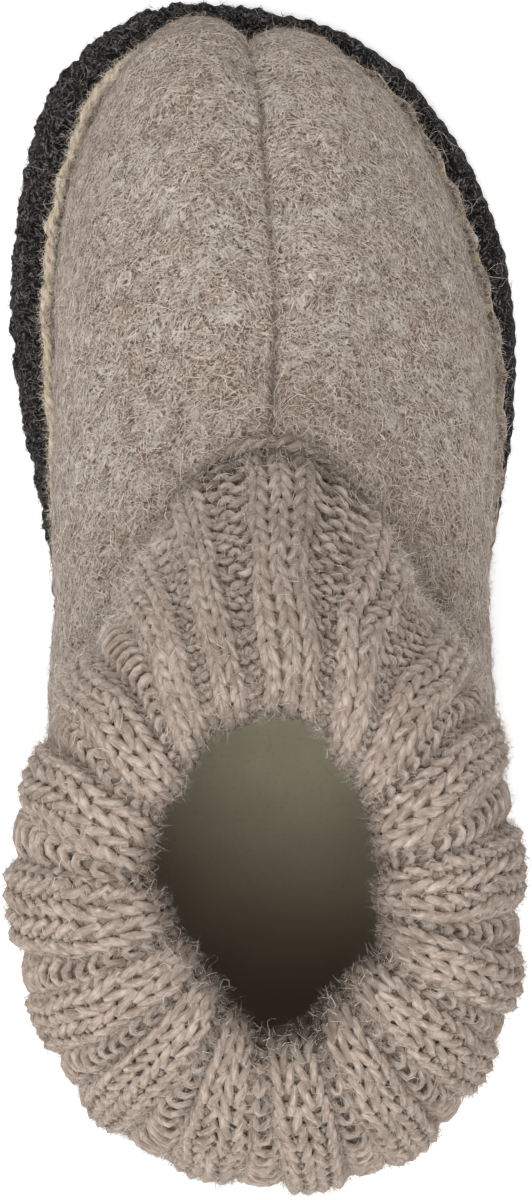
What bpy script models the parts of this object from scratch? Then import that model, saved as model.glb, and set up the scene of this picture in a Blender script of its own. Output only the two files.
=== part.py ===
"""A small child's boiled-wool house slipper with a ribbed knit cuff, right foot, in four pieces.

Units are metres, +Z is up, +Y points to the toe, and -X is the big-toe side. The origin is on
the floor, under the middle of the sole. Sizes in the tables are millimetres.
"""

import math

import bpy
import numpy as np

MM = 0.001

# Driving sizes of the felt sole and the insole, in millimetres.
SOLE_THICKNESS = 8.0
TOE_SPRING = 3.5
TOE_SPRING_START = 46.0
TOE_TIP = 87.0
INSOLE_THICKNESS = 2.5
INSOLE_CLEARANCE = 0.8
JOINT_GAP = 0.3

# Driving sizes of the boiled-wool upper, in millimetres.
FELT_WALL = 3.0
LIP_WIDTH = 2.0
LIP_HEIGHT = 2.2
SEAM_DEPTH = 2.2
SEAM_HALF_WIDTH = 2.4
LOBE_RISE = 1.0
LOBE_DISTANCE = 9.0

# Driving sizes of the ribbed cuff, in millimetres.
CUFF_WALL = 5.6
RIB_COUNT = 17
RIB_RELIEF = 1.0
RIB_SQUARENESS = 1.6
RIB_TURN = 0.31
OPENING_CENTRE = (0.5, -34.7)
OPENING_HALF_WIDTH = 13.9
OPENING_HALF_LENGTH = 19.8
RIM_HEIGHT = 85.0

# How finely the pieces are cut.
SOLE_COLUMNS = 72
UPPER_COLUMNS = 92
UPPER_ROWS = 12
UPPER_INNER_ROWS = 8
TOE_CROWDING = 0.62
RIB_COLUMNS = 6
CUFF_ROWS = 10
CUFF_INNER_ROWS = 6
RIM_ROWS = 4
FINE_STEPS = 720

# One row for each station round the shoe, from the toe seam by the big-toe side to the heel and
# back: the sole's edge, how far inside it the upper's lip stands, the collar seam above that
# place, and the bulge of the upper between them. "rise" and "lean" carry the wall up and out
# from the sole. At the collar seam the wall arrives from "reach" of the way back to the sole,
# "swell" further out and "drop" lower.
STATION_COLUMNS = (
    "sole_x", "sole_y", "margin", "top_x", "top_y", "top_z",
    "rise", "lean", "reach", "swell", "drop",
)
STATIONS = {
    "toe_seam":             (-2.5, 87.2, 4.0, 0.8, 21.7, 57.0, 17.0, 11.0, 0.62, 0.0, 10.0),
    "inner_toe":            (-13.5, 87.2, 4.4, -2.4, 21.4, 57.0, 17.0, 10.0, 0.60, 0.0, 9.0),
    "inner_toe_corner":     (-26.8, 81.1, 5.2, -6.0, 20.2, 56.6, 18.0, 5.0, 0.56, 0.5, 8.5),
    "inner_toe_side":       (-34.7, 65.0, 4.7, -10.8, 17.0, 55.8, 20.0, 2.5, 0.50, 1.5, 7.5),
    "inner_ball":           (-37.4, 42.0, 4.4, -15.6, 12.0, 54.8, 22.0, 1.5, 0.50, 3.0, 6.5),
    "inner_instep":         (-35.4, 22.0, 3.2, -20.6, 2.0, 53.2, 22.0, 3.0, 0.46, 5.5, 7.5),
    "inner_waist":          (-30.9, -4.0, 2.0, -26.6, -12.0, 51.0, 18.0, 5.5, 0.30, 6.5, 12.0),
    "inner_heel_front":     (-29.4, -34.0, 1.8, -29.8, -34.0, 49.0, 15.0, 5.0, 0.0, 4.0, 15.0),
    "inner_heel":           (-28.6, -58.0, 1.8, -29.2, -57.0, 47.0, 14.0, 4.0, 0.0, 3.0, 15.0),
    "inner_heel_back":      (-18.8, -77.0, 1.8, -19.2, -74.2, 46.0, 14.0, 3.5, 0.0, 2.5, 14.0),
    "heel":                 (0.5, -83.2, 1.8, 0.5, -79.8, 45.5, 14.0, 3.5, 0.0, 2.0, 14.0),
    "outer_heel_back":      (19.8, -77.0, 1.8, 20.2, -74.2, 46.0, 14.0, 3.5, 0.0, 2.5, 14.0),
    "outer_heel":           (29.6, -58.0, 1.8, 30.2, -57.0, 47.0, 14.0, 4.0, 0.0, 3.0, 15.0),
    "outer_heel_front":     (30.4, -34.0, 1.8, 31.2, -34.0, 49.0, 15.0, 5.0, 0.0, 3.5, 15.0),
    "outer_waist":          (31.8, -4.0, 2.0, 29.6, -12.0, 51.0, 18.0, 4.5, 0.30, 4.4, 12.0),
    "outer_instep":         (35.6, 18.0, 2.2, 23.0, 2.0, 53.2, 22.0, 2.5, 0.46, 4.5, 7.5),
    "outer_ball":           (36.8, 36.0, 2.3, 17.2, 12.0, 54.8, 22.0, 1.5, 0.50, 3.0, 6.5),
    "outer_toe_side":       (31.4, 60.0, 3.3, 12.0, 17.0, 55.8, 20.0, 2.5, 0.50, 1.5, 7.5),
    "outer_toe_corner":     (16.5, 80.2, 3.8, 7.2, 20.2, 56.6, 18.0, 5.0, 0.56, 0.5, 8.5),
    "outer_toe":            (6.5, 85.3, 3.9, 4.0, 21.4, 57.0, 17.0, 10.0, 0.60, 0.0, 9.0),
}

# The sole's edge from its underside to its top: how far inside the outline, and how high.
SOLE_EDGE_COLUMNS = ("inset", "height")
SOLE_EDGE = {
    "floor_edge":    (2.6, 0.0),
    "lower_round":   (0.9, 0.9),
    "lower_side":    (0.1, 2.8),
    "upper_side":    (0.0, 5.0),
    "upper_round":   (0.9, 7.2),
    "top_edge":      (2.4, SOLE_THICKNESS),
}

# The cuff's bulge at places round the collar, as shares of a turn from the front by the big-toe
# side. "swell" carries the knit out and up from the collar seam, and "crown" is where it comes
# from, out and up, as it arrives level at the rim.
CUFF_COLUMNS = ("place", "swell_out", "swell_up", "crown_out", "crown_up")
CUFF_STATIONS = {
    "front":            (0.0, -2.5, 8.0, 14.0, 0.0),
    "inner_front":      (0.125, 3.5, 9.5, 14.5, 0.5),
    "inner_side":       (0.25, 10.0, 11.5, 17.5, 1.0),
    "inner_back":       (0.375, 7.5, 11.5, 18.0, 1.0),
    "back":             (0.5, 6.0, 11.5, 19.5, 1.0),
    "outer_back":       (0.625, 9.0, 11.5, 19.5, 1.0),
    "outer_side":       (0.75, 8.5, 11.5, 17.0, 1.0),
    "outer_front":      (0.875, 3.0, 9.5, 14.5, 0.5),
}

FELT_COLOUR = (0.36, 0.30, 0.25, 1.0)
KNIT_COLOUR = (0.34, 0.28, 0.23, 1.0)
SOLE_COLOUR = (0.012, 0.011, 0.011, 1.0)
INSOLE_COLOUR = (0.20, 0.18, 0.13, 1.0)


def table(rows, columns):
    """A table as a dictionary of columns, each an array with one number a row."""
    values = np.array(list(rows.values()), float)
    return {name: values[:, index] for index, name in enumerate(columns)}


def closed_spline(places, values, turn, at):
    """The smooth closed curve through values at places round a loop: a periodic cubic spline."""
    count = len(places)
    gap = np.diff(np.append(places, places[0] + turn))
    slope = (np.roll(values, -1) - values) / gap
    system = np.zeros((count, count))
    for row in range(count):
        system[row, row - 1] = gap[row - 1]
        system[row, row] = 2 * (gap[row - 1] + gap[row])
        system[row, (row + 1) % count] = gap[row]
    bend = np.linalg.solve(system, 6 * (slope - np.roll(slope, 1)))
    at = np.mod(at - places[0], turn)
    span = np.searchsorted(places - places[0], at, side="right") - 1
    after = (span + 1) % count
    far = (at - (places - places[0])[span]) / gap[span]
    near = 1 - far
    curve = (near**3 - near) * bend[span] + (far**3 - far) * bend[after]
    return near * values[span] + far * values[after] + curve * gap[span] ** 2 / 6


def bezier(start, after_start, before_end, end, t):
    """The cubic curve from start to end, leaving and arriving by its two middle points."""
    return (
        (1 - t) ** 3 * start
        + 3 * (1 - t) ** 2 * t * after_start
        + 3 * (1 - t) * t**2 * before_end
        + t**3 * end
    )


def unit(vectors):
    return vectors / np.linalg.norm(vectors, axis=-1, keepdims=True)


def even_loop(loop, count):
    """Points a steady distance apart round a finely cut loop."""
    closed = np.vstack([loop, loop[:1]])
    length = np.append(0.0, np.cumsum(np.linalg.norm(np.diff(closed, axis=0), axis=1)))
    at = np.arange(count) / count * length[-1]
    return np.stack([np.interp(at, length, closed[:, axis]) for axis in range(loop.shape[1])], axis=1)


class Last:
    """The shoe's stations round the sole, read at any share of a turn from the toe seam."""

    def __init__(self):
        self.columns = table(STATIONS, STATION_COLUMNS)
        edge = np.stack([self.columns["sole_x"], self.columns["sole_y"]], axis=1)
        chord = np.linalg.norm(np.roll(edge, -1, axis=0) - edge, axis=1)
        self.turn = chord.sum()
        self.places = np.append(0.0, np.cumsum(chord)[:-1])

    def read(self, name, share):
        return closed_spline(self.places, self.columns[name], self.turn, share * self.turn)

    def sole_edge(self, share):
        return np.stack([self.read("sole_x", share), self.read("sole_y", share)], axis=1)

    def outward(self, share):
        step = 0.0005
        ahead = self.sole_edge(share + step)
        behind = self.sole_edge(share - step)
        along = unit(ahead - behind)
        return np.stack([along[:, 1], -along[:, 0]], axis=1)

    def inset_edge(self, share, inset):
        """The sole's edge moved inwards, level, by a distance at each share."""
        return self.sole_edge(share) - self.outward(share) * np.reshape(inset, (-1, 1))

    def collar(self, share):
        names = ("top_x", "top_y", "top_z")
        return np.stack([self.read(name, share) for name in names], axis=1)


def toe_lift(y):
    """The toe spring: the sole curls off the floor towards the toe."""
    past = np.clip((y - TOE_SPRING_START) / (TOE_TIP - TOE_SPRING_START), 0, None)
    return TOE_SPRING * past**2


def on_height(points, height):
    """Plan points set at a height above the sole's underside, which follows the toe spring."""
    return np.column_stack([points, height + toe_lift(points[:, 1])])


def crowded_shares(count):
    """Shares of a turn that lie closer together at the toe seam than at the heel."""
    even = np.arange(count) / count
    return even - TOE_CROWDING * np.sin(2 * np.pi * even) / (2 * np.pi)


def upper_outside(last, share, t):
    """The outer face of the felt: a cubic arch from the lip up to the collar seam at each share.

    The centre seam sinks a soft trough along share 0, with a lobe of felt raised either side.
    """
    lip_base = on_height(
        last.inset_edge(share, last.read("margin", share) + LIP_WIDTH),
        SOLE_THICKNESS + JOINT_GAP + LIP_HEIGHT,
    )
    out = np.column_stack([last.outward(share), np.zeros(len(share))])
    up = np.array([0.0, 0.0, 1.0])
    collar = last.collar(share)
    back_to_lip = (lip_base - collar) * np.array([1.0, 1.0, 0.0])
    column = {name: last.read(name, share)[:, None] for name in STATION_COLUMNS}
    leave = lip_base + up * column["rise"] + out * column["lean"]
    arrive = collar + back_to_lip * column["reach"] + out * column["swell"] - up * column["drop"]
    grid = bezier(*(p[:, None, :] for p in (lip_base, leave, arrive, collar)), t[None, :, None])
    return grid + face_normals(grid) * seam_relief(grid)[..., None]


def seam_relief(grid):
    """How far the centre seam sinks the felt, and the lobes beside it lift it, on the vamp."""
    seam = grid[0]
    across = np.linalg.norm(grid - seam[None, :, :], axis=2)
    on_vamp = np.clip((grid[..., 1] - grid[0, -1, 1] + 4.0) / 14.0, 0, 1)
    trough = -SEAM_DEPTH * np.exp(-((across / SEAM_HALF_WIDTH) ** 2))
    lobe = LOBE_RISE * np.exp(-(((across - LOBE_DISTANCE) / LOBE_DISTANCE) ** 2))
    return (trough + lobe) * on_vamp


def face_normals(grid):
    """Outward unit normals of a grid that closes on itself along its first axis."""
    along = np.roll(grid, -1, axis=0) - np.roll(grid, 1, axis=0)
    up = np.gradient(grid, axis=1)
    return unit(np.cross(along, up))


def upper_sections(last):
    """Closed sections of the upper: lip, outer face, collar edge, inner face and underside."""
    share = crowded_shares(UPPER_COLUMNS)
    t = np.linspace(0, 1, UPPER_ROWS)
    outer = upper_outside(last, share, t)
    inner_all = outer - face_normals(outer) * FELT_WALL
    pick = np.linspace(UPPER_ROWS - 1, 1, UPPER_INNER_ROWS).round().astype(int)
    inner = inner_all[:, pick]
    bed = SOLE_THICKNESS + JOINT_GAP
    margin = last.read("margin", share)
    lip_foot = on_height(last.inset_edge(share, margin + 0.3), bed)
    lip_side = on_height(last.inset_edge(share, margin), bed + LIP_HEIGHT * 0.5)
    lip_top = on_height(last.inset_edge(share, margin + 0.7), bed + LIP_HEIGHT)
    inner_foot = on_height(last.inset_edge(share, margin + LIP_WIDTH + FELT_WALL), bed)
    rings = [lip_foot, lip_side, lip_top]
    return np.concatenate(
        [np.stack(rings, axis=1), outer, inner, inner_foot[:, None, :]], axis=1
    )


def collar_seam(last):
    """The upper's collar edge, cut fine: outer and inner corners, and the way the felt runs."""
    share = np.arange(FINE_STEPS) / FINE_STEPS
    t = np.array([0.96, 0.98, 1.0])
    grid = upper_outside(last, share, t)
    outer = grid[:, -1]
    inner = outer - face_normals(grid)[:, -1] * FELT_WALL
    run = unit(grid[:, -1] - grid[:, -2])
    return outer, inner, run


def rib_wave(place):
    """Plus one on the knit ribs and minus one in the purl furrows, with soft shoulders."""
    turn = np.cos(2 * np.pi * (place * RIB_COUNT + RIB_TURN))
    return np.tanh(RIB_SQUARENESS * turn) / math.tanh(RIB_SQUARENESS)


def cuff_sections(last):
    """Closed sections of the cuff: outside from collar seam to rim, over the rim, and inside."""
    count = RIB_COUNT * RIB_COLUMNS
    place = np.arange(count) / count
    outer, inner, run = collar_seam(last)
    foot = even_loop(np.hstack([outer, inner, run]), count)
    foot_out = foot[:, 0:3] + unit(foot[:, 6:9]) * JOINT_GAP
    foot_in = foot[:, 3:6] + unit(foot[:, 6:9]) * JOINT_GAP

    angle = np.arange(FINE_STEPS) / FINE_STEPS * 2 * np.pi
    rim_plan = np.column_stack([
        OPENING_CENTRE[0] - OPENING_HALF_WIDTH * np.sin(angle),
        OPENING_CENTRE[1] + OPENING_HALF_LENGTH * np.cos(angle),
    ])
    hole = np.column_stack([even_loop(rim_plan, count), np.full(count, RIM_HEIGHT)])
    level = np.array([1.0, 1.0, 0.0])
    out = unit((foot_out - hole) * level)
    up = np.array([0.0, 0.0, 1.0])
    columns = table(CUFF_STATIONS, CUFF_COLUMNS)

    def bulge(name):
        return closed_spline(columns["place"], columns[name], 1.0, place)[:, None]

    rim = hole + out * CUFF_WALL / 2
    leave = foot_out + out * bulge("swell_out") + up * bulge("swell_up")
    arrive = rim + out * bulge("crown_out") + up * bulge("crown_up")
    t = np.linspace(0, 1, CUFF_ROWS)
    outside = bezier(*(p[:, None, :] for p in (foot_out, leave, arrive, rim)), t[None, :, None])
    normal = face_normals(outside)
    seam_wall = np.linalg.norm(foot_out - foot_in, axis=1)[:, None]
    wall = seam_wall + (CUFF_WALL - seam_wall) * np.clip(t / 0.5, 0, 1)[None, :]
    inside = outside - normal * wall[..., None]
    inside[:, 0] = foot_in
    fade = np.sin(np.pi * np.clip(t, 0, 1) ** 0.8 * 0.5)[None, :]
    outside = outside + normal * (RIB_RELIEF * rib_wave(place)[:, None] * fade)[..., None]

    roll = np.linspace(0, np.pi, RIM_ROWS + 2)[1:-1]
    centre = rim - up * CUFF_WALL / 2
    relief = (CUFF_WALL / 2 + RIB_RELIEF * rib_wave(place)[:, None] * (1 + np.cos(roll)) / 2)
    over = centre[:, None, :] + relief[..., None] * (
        up * np.cos(roll)[None, :, None] - out[:, None, :] * np.sin(roll)[None, :, None]
    )
    pick = np.linspace(CUFF_ROWS - 1, 0, CUFF_INNER_ROWS).round().astype(int)
    return np.concatenate([outside, over, inside[:, pick]], axis=1)


def sole_rings(last):
    """The sole's rings from its flat underside, round the felt edge, to its top."""
    share = np.arange(SOLE_COLUMNS) / SOLE_COLUMNS
    edge = table(SOLE_EDGE, SOLE_EDGE_COLUMNS)
    return np.stack([
        on_height(last.inset_edge(share, np.full(SOLE_COLUMNS, inset)), height)
        for inset, height in zip(edge["inset"], edge["height"])
    ])


def insole_rings(last):
    """The insole's rings: a thin felt plate inside the foot of the upper, softly edged."""
    share = np.arange(SOLE_COLUMNS) / SOLE_COLUMNS
    clear = last.read("margin", share) + LIP_WIDTH + FELT_WALL + INSOLE_CLEARANCE
    bed = SOLE_THICKNESS + JOINT_GAP
    profile = ((0.5, 0.0), (0.0, 0.8), (0.0, INSOLE_THICKNESS - 0.8), (1.2, INSOLE_THICKNESS))
    return np.stack([
        on_height(last.inset_edge(share, clear + inset), bed + height) for inset, height in profile
    ])


def new_object(name, points, faces, material, collection):
    """A mesh object of points in millimetres, with shading split at its hard edges."""
    mesh = bpy.data.meshes.new(name)
    mesh.from_pydata((np.reshape(points, (-1, 3)) * MM).tolist(), [], faces)
    mesh.validate()
    mesh.shade_smooth()
    mesh.set_sharp_from_angle(angle=math.radians(50))
    mesh.materials.append(material)
    made = bpy.data.objects.new(name, mesh)
    collection.objects.link(made)
    return made


def ring_faces(columns, rows):
    """Quads of a grid that closes on itself both round the shoe and round each section."""
    return [
        (
            column * rows + row,
            (column + 1) % columns * rows + row,
            (column + 1) % columns * rows + (row + 1) % rows,
            column * rows + (row + 1) % rows,
        )
        for column in range(columns)
        for row in range(rows)
    ]


def plate_faces(rings, columns):
    """Quads up the side of a plate, and rungs across its two faces from one side to the other."""
    side = [
        (
            ring * columns + column,
            ring * columns + (column + 1) % columns,
            (ring + 1) * columns + (column + 1) % columns,
            (ring + 1) * columns + column,
        )
        for ring in range(rings - 1)
        for column in range(columns)
    ]
    rungs = [(0, 1, columns - 1)]
    for step in range(1, columns // 2 - 1):
        rungs.append((step, step + 1, columns - step - 1, columns - step))
    middle = columns // 2
    rungs.append((middle - 1, middle, middle + 1))
    top = (rings - 1) * columns
    underside = [tuple(reversed(rung)) for rung in rungs]
    return side + underside + [tuple(top + corner for corner in rung) for rung in rungs]


def felt_material(name, colour, roughness):
    material = bpy.data.materials.new(name)
    material.use_nodes = True
    shader = material.node_tree.nodes["Principled BSDF"]
    shader.inputs["Base Color"].default_value = colour
    shader.inputs["Roughness"].default_value = roughness
    shader.inputs["Metallic"].default_value = 0.0
    return material


def build():
    for old in list(bpy.data.objects):
        bpy.data.objects.remove(old, do_unlink=True)
    slipper = bpy.data.collections.new("slipper")
    bpy.context.scene.collection.children.link(slipper)
    last = Last()

    for name, rings, colour in (
        ("outsole", sole_rings(last), SOLE_COLOUR),
        ("insole", insole_rings(last), INSOLE_COLOUR),
    ):
        faces = plate_faces(len(rings), SOLE_COLUMNS)
        new_object(name, rings, faces, felt_material(name, colour, 0.95), slipper)

    for name, sections, colour in (
        ("upper", upper_sections(last), FELT_COLOUR),
        ("ribbed_cuff", cuff_sections(last), KNIT_COLOUR),
    ):
        faces = ring_faces(*sections.shape[:2])
        new_object(name, sections, faces, felt_material(name, colour, 0.95), slipper)


build()
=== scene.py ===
# %% [markdown]
# # A boiled-wool slipper with a ribbed cuff
# This lesson dresses a plain solid model of a child's house slipper. The solids give the size and
# the place of every piece. Here each one is made again as a fine surface, with the wool, the yarn
# and the stitches that a solid model leaves out. The solids are loaded first.

# %% Load the solids
import math

import bpy
import numpy as np
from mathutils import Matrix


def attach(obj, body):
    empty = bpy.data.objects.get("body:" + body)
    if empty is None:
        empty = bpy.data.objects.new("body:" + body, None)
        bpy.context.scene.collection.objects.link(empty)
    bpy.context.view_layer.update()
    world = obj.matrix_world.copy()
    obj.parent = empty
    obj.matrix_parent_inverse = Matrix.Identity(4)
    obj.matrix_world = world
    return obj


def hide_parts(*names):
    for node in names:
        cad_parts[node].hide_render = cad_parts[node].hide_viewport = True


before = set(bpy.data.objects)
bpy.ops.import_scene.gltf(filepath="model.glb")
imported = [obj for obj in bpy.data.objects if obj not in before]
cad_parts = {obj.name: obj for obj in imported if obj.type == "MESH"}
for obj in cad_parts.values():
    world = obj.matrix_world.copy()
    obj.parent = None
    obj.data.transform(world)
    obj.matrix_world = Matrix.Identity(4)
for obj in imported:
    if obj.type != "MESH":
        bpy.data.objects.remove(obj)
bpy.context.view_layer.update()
MM = 0.001
print("solids:", sorted(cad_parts))

# %% [markdown]
# ## Small helpers
# A shoe has few straight lines, so most of its shapes are smooth closed loops through a handful of
# measured points. A periodic cubic spline gives such a loop. A cubic Bezier gives the arch of the
# wall between sole and collar. Both work on whole arrays, so thousands of points cost one call.


# %% Loops, arches and noise
def closed_spline(places, values, turn, at):
    """Periodic cubic spline: a closed curve through the values, smooth in slope and in bend."""
    count = len(places)
    gap = np.diff(np.append(places, places[0] + turn))
    slope = (np.roll(values, -1) - values) / gap
    row = np.arange(count)
    system = np.zeros((count, count))
    system[row, row - 1] += np.roll(gap, 1)
    system[row, row] += 2 * (gap + np.roll(gap, 1))
    system[row, (row + 1) % count] += gap
    bend = np.linalg.solve(system, 6 * (slope - np.roll(slope, 1)))
    at = np.mod(at - places[0], turn)
    span = np.searchsorted(places - places[0], at, side="right") - 1
    after = (span + 1) % count
    far = (at - (places - places[0])[span]) / gap[span]
    near = 1 - far
    curve = (near**3 - near) * bend[span] + (far**3 - far) * bend[after]
    return near * values[span] + far * values[after] + curve * gap[span] ** 2 / 6


def bezier(start, leave, arrive, end, t):
    """Cubic Bezier: the four points weighted by the terms of ((1 - t) + t) cubed."""
    return (1 - t) ** 3 * start + 3 * (1 - t) ** 2 * t * leave + 3 * (1 - t) * t**2 * arrive + t**3 * end


def unit(vectors):
    """Vectors scaled to length one."""
    return vectors / np.maximum(np.linalg.norm(vectors, axis=-1, keepdims=True), 1e-12)


def soft_step(value, low, high):
    """0 below low, 1 above high, and an even S between them: 3 x squared minus 2 x cubed."""
    x = np.clip((value - low) / (high - low), 0, 1)
    return x * x * (3 - 2 * x)


def soft_noise(points, size, seed):
    """Smooth random values from -1 to 1: a lattice of random numbers, blended with S curves."""
    lattice = np.random.default_rng(seed).uniform(-1, 1, (32, 32, 32))
    place = np.asarray(points) / size
    base = np.floor(place).astype(int)
    share = place - base
    share = share * share * (3 - 2 * share)
    total = np.zeros(place.shape[:-1])
    for corner in np.ndindex(2, 2, 2):
        weight = np.prod(np.where(np.array(corner) == 1, share, 1 - share), axis=-1)
        x, y, z = np.moveaxis((base + np.array(corner)) % 32, -1, 0)
        total += weight * lattice[x, y, z]
    return total


def grid_normals(grid):
    """Outward normals of a grid whose first axis closes on itself: along crossed with up."""
    along = np.roll(grid, -1, axis=0) - np.roll(grid, 1, axis=0)
    return unit(np.cross(along, np.gradient(grid, axis=1)))


print("helpers ready")

# %% [markdown]
# ## From arrays to meshes
# Blender can be handed a mesh as flat arrays, which is quick even for a hundred thousand faces.
# `lay_mesh` takes points in millimetres and four-cornered faces. A tube or a hollow wall is a grid
# that closes on itself both ways, and `wrap_quads` numbers its faces.


# %% Meshes from grids
def wrap_quads(columns, rows, closed_rows=True):
    """Faces of a grid that closes along its columns, and along its rows too if asked."""
    column = np.arange(columns)[:, None]
    row = np.arange(rows if closed_rows else rows - 1)[None, :]
    after, above = (column + 1) % columns, (row + 1) % rows
    corners = (column * rows + row, after * rows + row, after * rows + above, column * rows + above)
    return np.stack(np.broadcast_arrays(*corners), axis=-1).reshape(-1, 4)


def lay_mesh(name, points, quads, finish, uv=None, tone=None):
    """A smooth-shaded piece that rides on the shoe, with optional UVs and a tone on each point."""
    mesh = bpy.data.meshes.new(name)
    points = np.reshape(points, (-1, 3)) * MM
    mesh.vertices.add(len(points))
    mesh.vertices.foreach_set("co", points.astype(np.float32).ravel())
    mesh.loops.add(quads.size)
    mesh.loops.foreach_set("vertex_index", quads.astype(np.int32).ravel())
    mesh.polygons.add(len(quads))
    mesh.polygons.foreach_set("loop_start", np.arange(0, quads.size, 4, dtype=np.int32))
    mesh.update(calc_edges=True)
    if uv is not None:
        mesh.uv_layers.new(name="UVMap").data.foreach_set("uv", uv.astype(np.float32).ravel())
    if tone is not None:
        layer = mesh.attributes.new("tone", "FLOAT", "POINT")
        layer.data.foreach_set("value", np.ravel(tone).astype(np.float32))
    mesh.validate()
    mesh.shade_smooth()
    mesh.materials.append(finish)
    piece = bpy.data.objects.new(name, mesh)
    bpy.context.scene.collection.objects.link(piece)
    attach(piece, "root")
    print(f"{name}: {len(quads) * 2} triangles")
    return piece


print("mesh helpers ready")

# %% [markdown]
# ## Finishes
# Wool is a tangle of light and dark fibres, so no part of it is one colour. Each finish mixes a
# dark and a light wool by noise on the piece's own coordinates, first in patches a few millimetres
# wide and then in fine lines, and the same noise raises the surface a little. Noise that is
# stretched one way reads as fibres that lie that way. Six of them in six directions, read at
# coordinates that a slower noise bends, cross each other like the fibres of felt.


# %% Node helpers
def srgb(red, green, blue):
    """A colour from 0 to 255 as the linear values that a shader takes: a straight line near black,
    and a power of 2.4 above it."""
    share = np.array([red, green, blue]) / 255
    linear = np.where(share <= 0.04045, share / 12.92, ((share + 0.055) / 1.055) ** 2.4)
    return (*linear.tolist(), 1.0)


class Finish:
    """A Principled material with its nodes: short calls add noise, curves and mixes to it."""

    def __init__(self, name, roughness, sheen=0.0, sheen_tint=(1, 1, 1, 1)):
        self.material = bpy.data.materials.new(name)
        self.material.use_nodes = True
        self.tree = self.material.node_tree
        self.shader = self.tree.nodes["Principled BSDF"]
        self.shader.inputs["Roughness"].default_value = roughness
        self.shader.inputs["Specular IOR Level"].default_value = 0.12
        self.shader.inputs["Sheen Weight"].default_value = sheen
        self.shader.inputs["Sheen Roughness"].default_value = 0.5
        self.shader.inputs["Sheen Tint"].default_value = sheen_tint
        self.place = self.tree.nodes.new("ShaderNodeTexCoord").outputs

    def link(self, value, socket):
        """Join an output to a socket, or set the socket to a plain value."""
        if isinstance(value, bpy.types.NodeSocket):
            self.tree.links.new(value, socket)
        else:
            socket.default_value = value

    def node(self, kind, settings=None, **sockets):
        """A new node with its settings, and values or outputs for the sockets named."""
        made = self.tree.nodes.new(kind)
        for key, value in (settings or {}).items():
            setattr(made, key, value)
        for key, value in sockets.items():
            self.link(value, made.inputs[key.replace("_", " ")])
        return made

    def noise(self, scale, detail=3.0, rough=0.55, distortion=0.0, vector=None):
        """Noise on the piece's own coordinates, or on others."""
        at = self.place["Object"] if vector is None else vector
        made = self.node("ShaderNodeTexNoise", Vector=at, Scale=scale, Detail=detail)
        made.inputs["Roughness"].default_value = rough
        made.inputs["Distortion"].default_value = distortion
        return made.outputs["Fac"]

    def stretch(self, vector, scale):
        """Coordinates multiplied by a scale for each axis."""
        made = self.node("ShaderNodeMapping", Vector=vector, Scale=scale)
        return made.outputs["Vector"]

    def range(self, value, low, high, to_low=0.0, to_high=1.0):
        """The value on a straight line from one range to another, held at its ends."""
        made = self.node("ShaderNodeMapRange")
        for index, item in enumerate((value, low, high, to_low, to_high)):
            self.link(item, made.inputs[index])
        return made.outputs["Result"]

    def math(self, operation, first, second=0.0):
        """One sum on two values."""
        made = self.node("ShaderNodeMath", {"operation": operation})
        self.link(first, made.inputs[0])
        self.link(second, made.inputs[1])
        return made.outputs["Value"]

    def tangle(self, length, width, directions=6, bend=1.1):
        """Crossing fibres: one stretched noise for each direction, read at coordinates that a slower
        noise bends by a multiple of the fibre's length. Their sum is low in the gaps, and the greatest
        of them is high on a fibre."""
        slow = self.node("ShaderNodeTexNoise", Vector=self.place["Object"], Scale=0.7 / length, Detail=1.0)
        centred = self.node("ShaderNodeVectorMath", {"operation": "SUBTRACT"})
        self.link(slow.outputs["Color"], centred.inputs[0])
        self.link((0.5, 0.5, 0.5), centred.inputs[1])
        bent = self.node("ShaderNodeVectorMath", {"operation": "MULTIPLY_ADD"})
        self.link(centred.outputs["Vector"], bent.inputs[0])
        self.link((bend * length,) * 3, bent.inputs[1])
        self.link(self.place["Object"], bent.inputs[2])
        total, top = 0.0, 0.0
        for index in range(directions):
            lay = self.node("ShaderNodeMapping", {"vector_type": "TEXTURE"}, Vector=bent.outputs["Vector"],
                            Location=(0.013 * index, 0.029 * index, 0.007 * index),
                            Rotation=(0.3, -0.2, index * math.pi / directions), Scale=(length, width, width))
            fibre = self.noise(1.0, 0.0, 0.5, 0.3, lay.outputs["Vector"])
            total, top = self.math("ADD", fibre, total), self.math("MAXIMUM", fibre, top)
        return total, top

    def mix(self, share, dark, light):
        """Dark where the share is 0, light where it is 1, and a blend between."""
        made = self.node("ShaderNodeMix", {"data_type": "RGBA"})
        self.link(share, made.inputs["Factor"])
        self.link(dark, made.inputs[6])
        self.link(light, made.inputs[7])
        return made.outputs[2]

    def bump(self, height, distance, strength=1.0):
        """Make the surface look raised by a height, times a distance in metres."""
        made = self.node("ShaderNodeBump", Height=height, Distance=distance, Strength=strength)
        self.link(made.outputs["Normal"], self.shader.inputs["Normal"])

    def colour(self, value):
        """Give the surface its colour."""
        self.link(value, self.shader.inputs["Base Color"])


print("node helpers ready")

# %% [markdown]
# ## The wool finishes
# Boiled wool, knitting yarn and loose hairs share one heathered greige. The boiled wool gets
# patches and a tangle of fibres. The yarn's fibres run along it, so its noise is stretched along
# the yarn's own UV map. Down its sides the yarn is painted darker, a painted shade where strands
# shade each other, and a pale line along its top is a painted highlight. Hairs read one tone each
# from an attribute on their points. On felt and yarn the same attribute darkens where it is above
# zero: painted shade in seams, grooves, hollows and the rim of the knit, with a brown stain too in
# the hollow by the collar. Below zero it paints light on the felt's upright flanks and mats the yarn.


# %% Make the wool finishes
# Sheen colour, and the length and width of the drawn fibres in metres.
WOOL_LIGHT = srgb(205, 192, 180)
FELT_FIBRES, MATTED_FIBRES = (0.0034, 0.0003), (0.0026, 0.0004)


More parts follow.
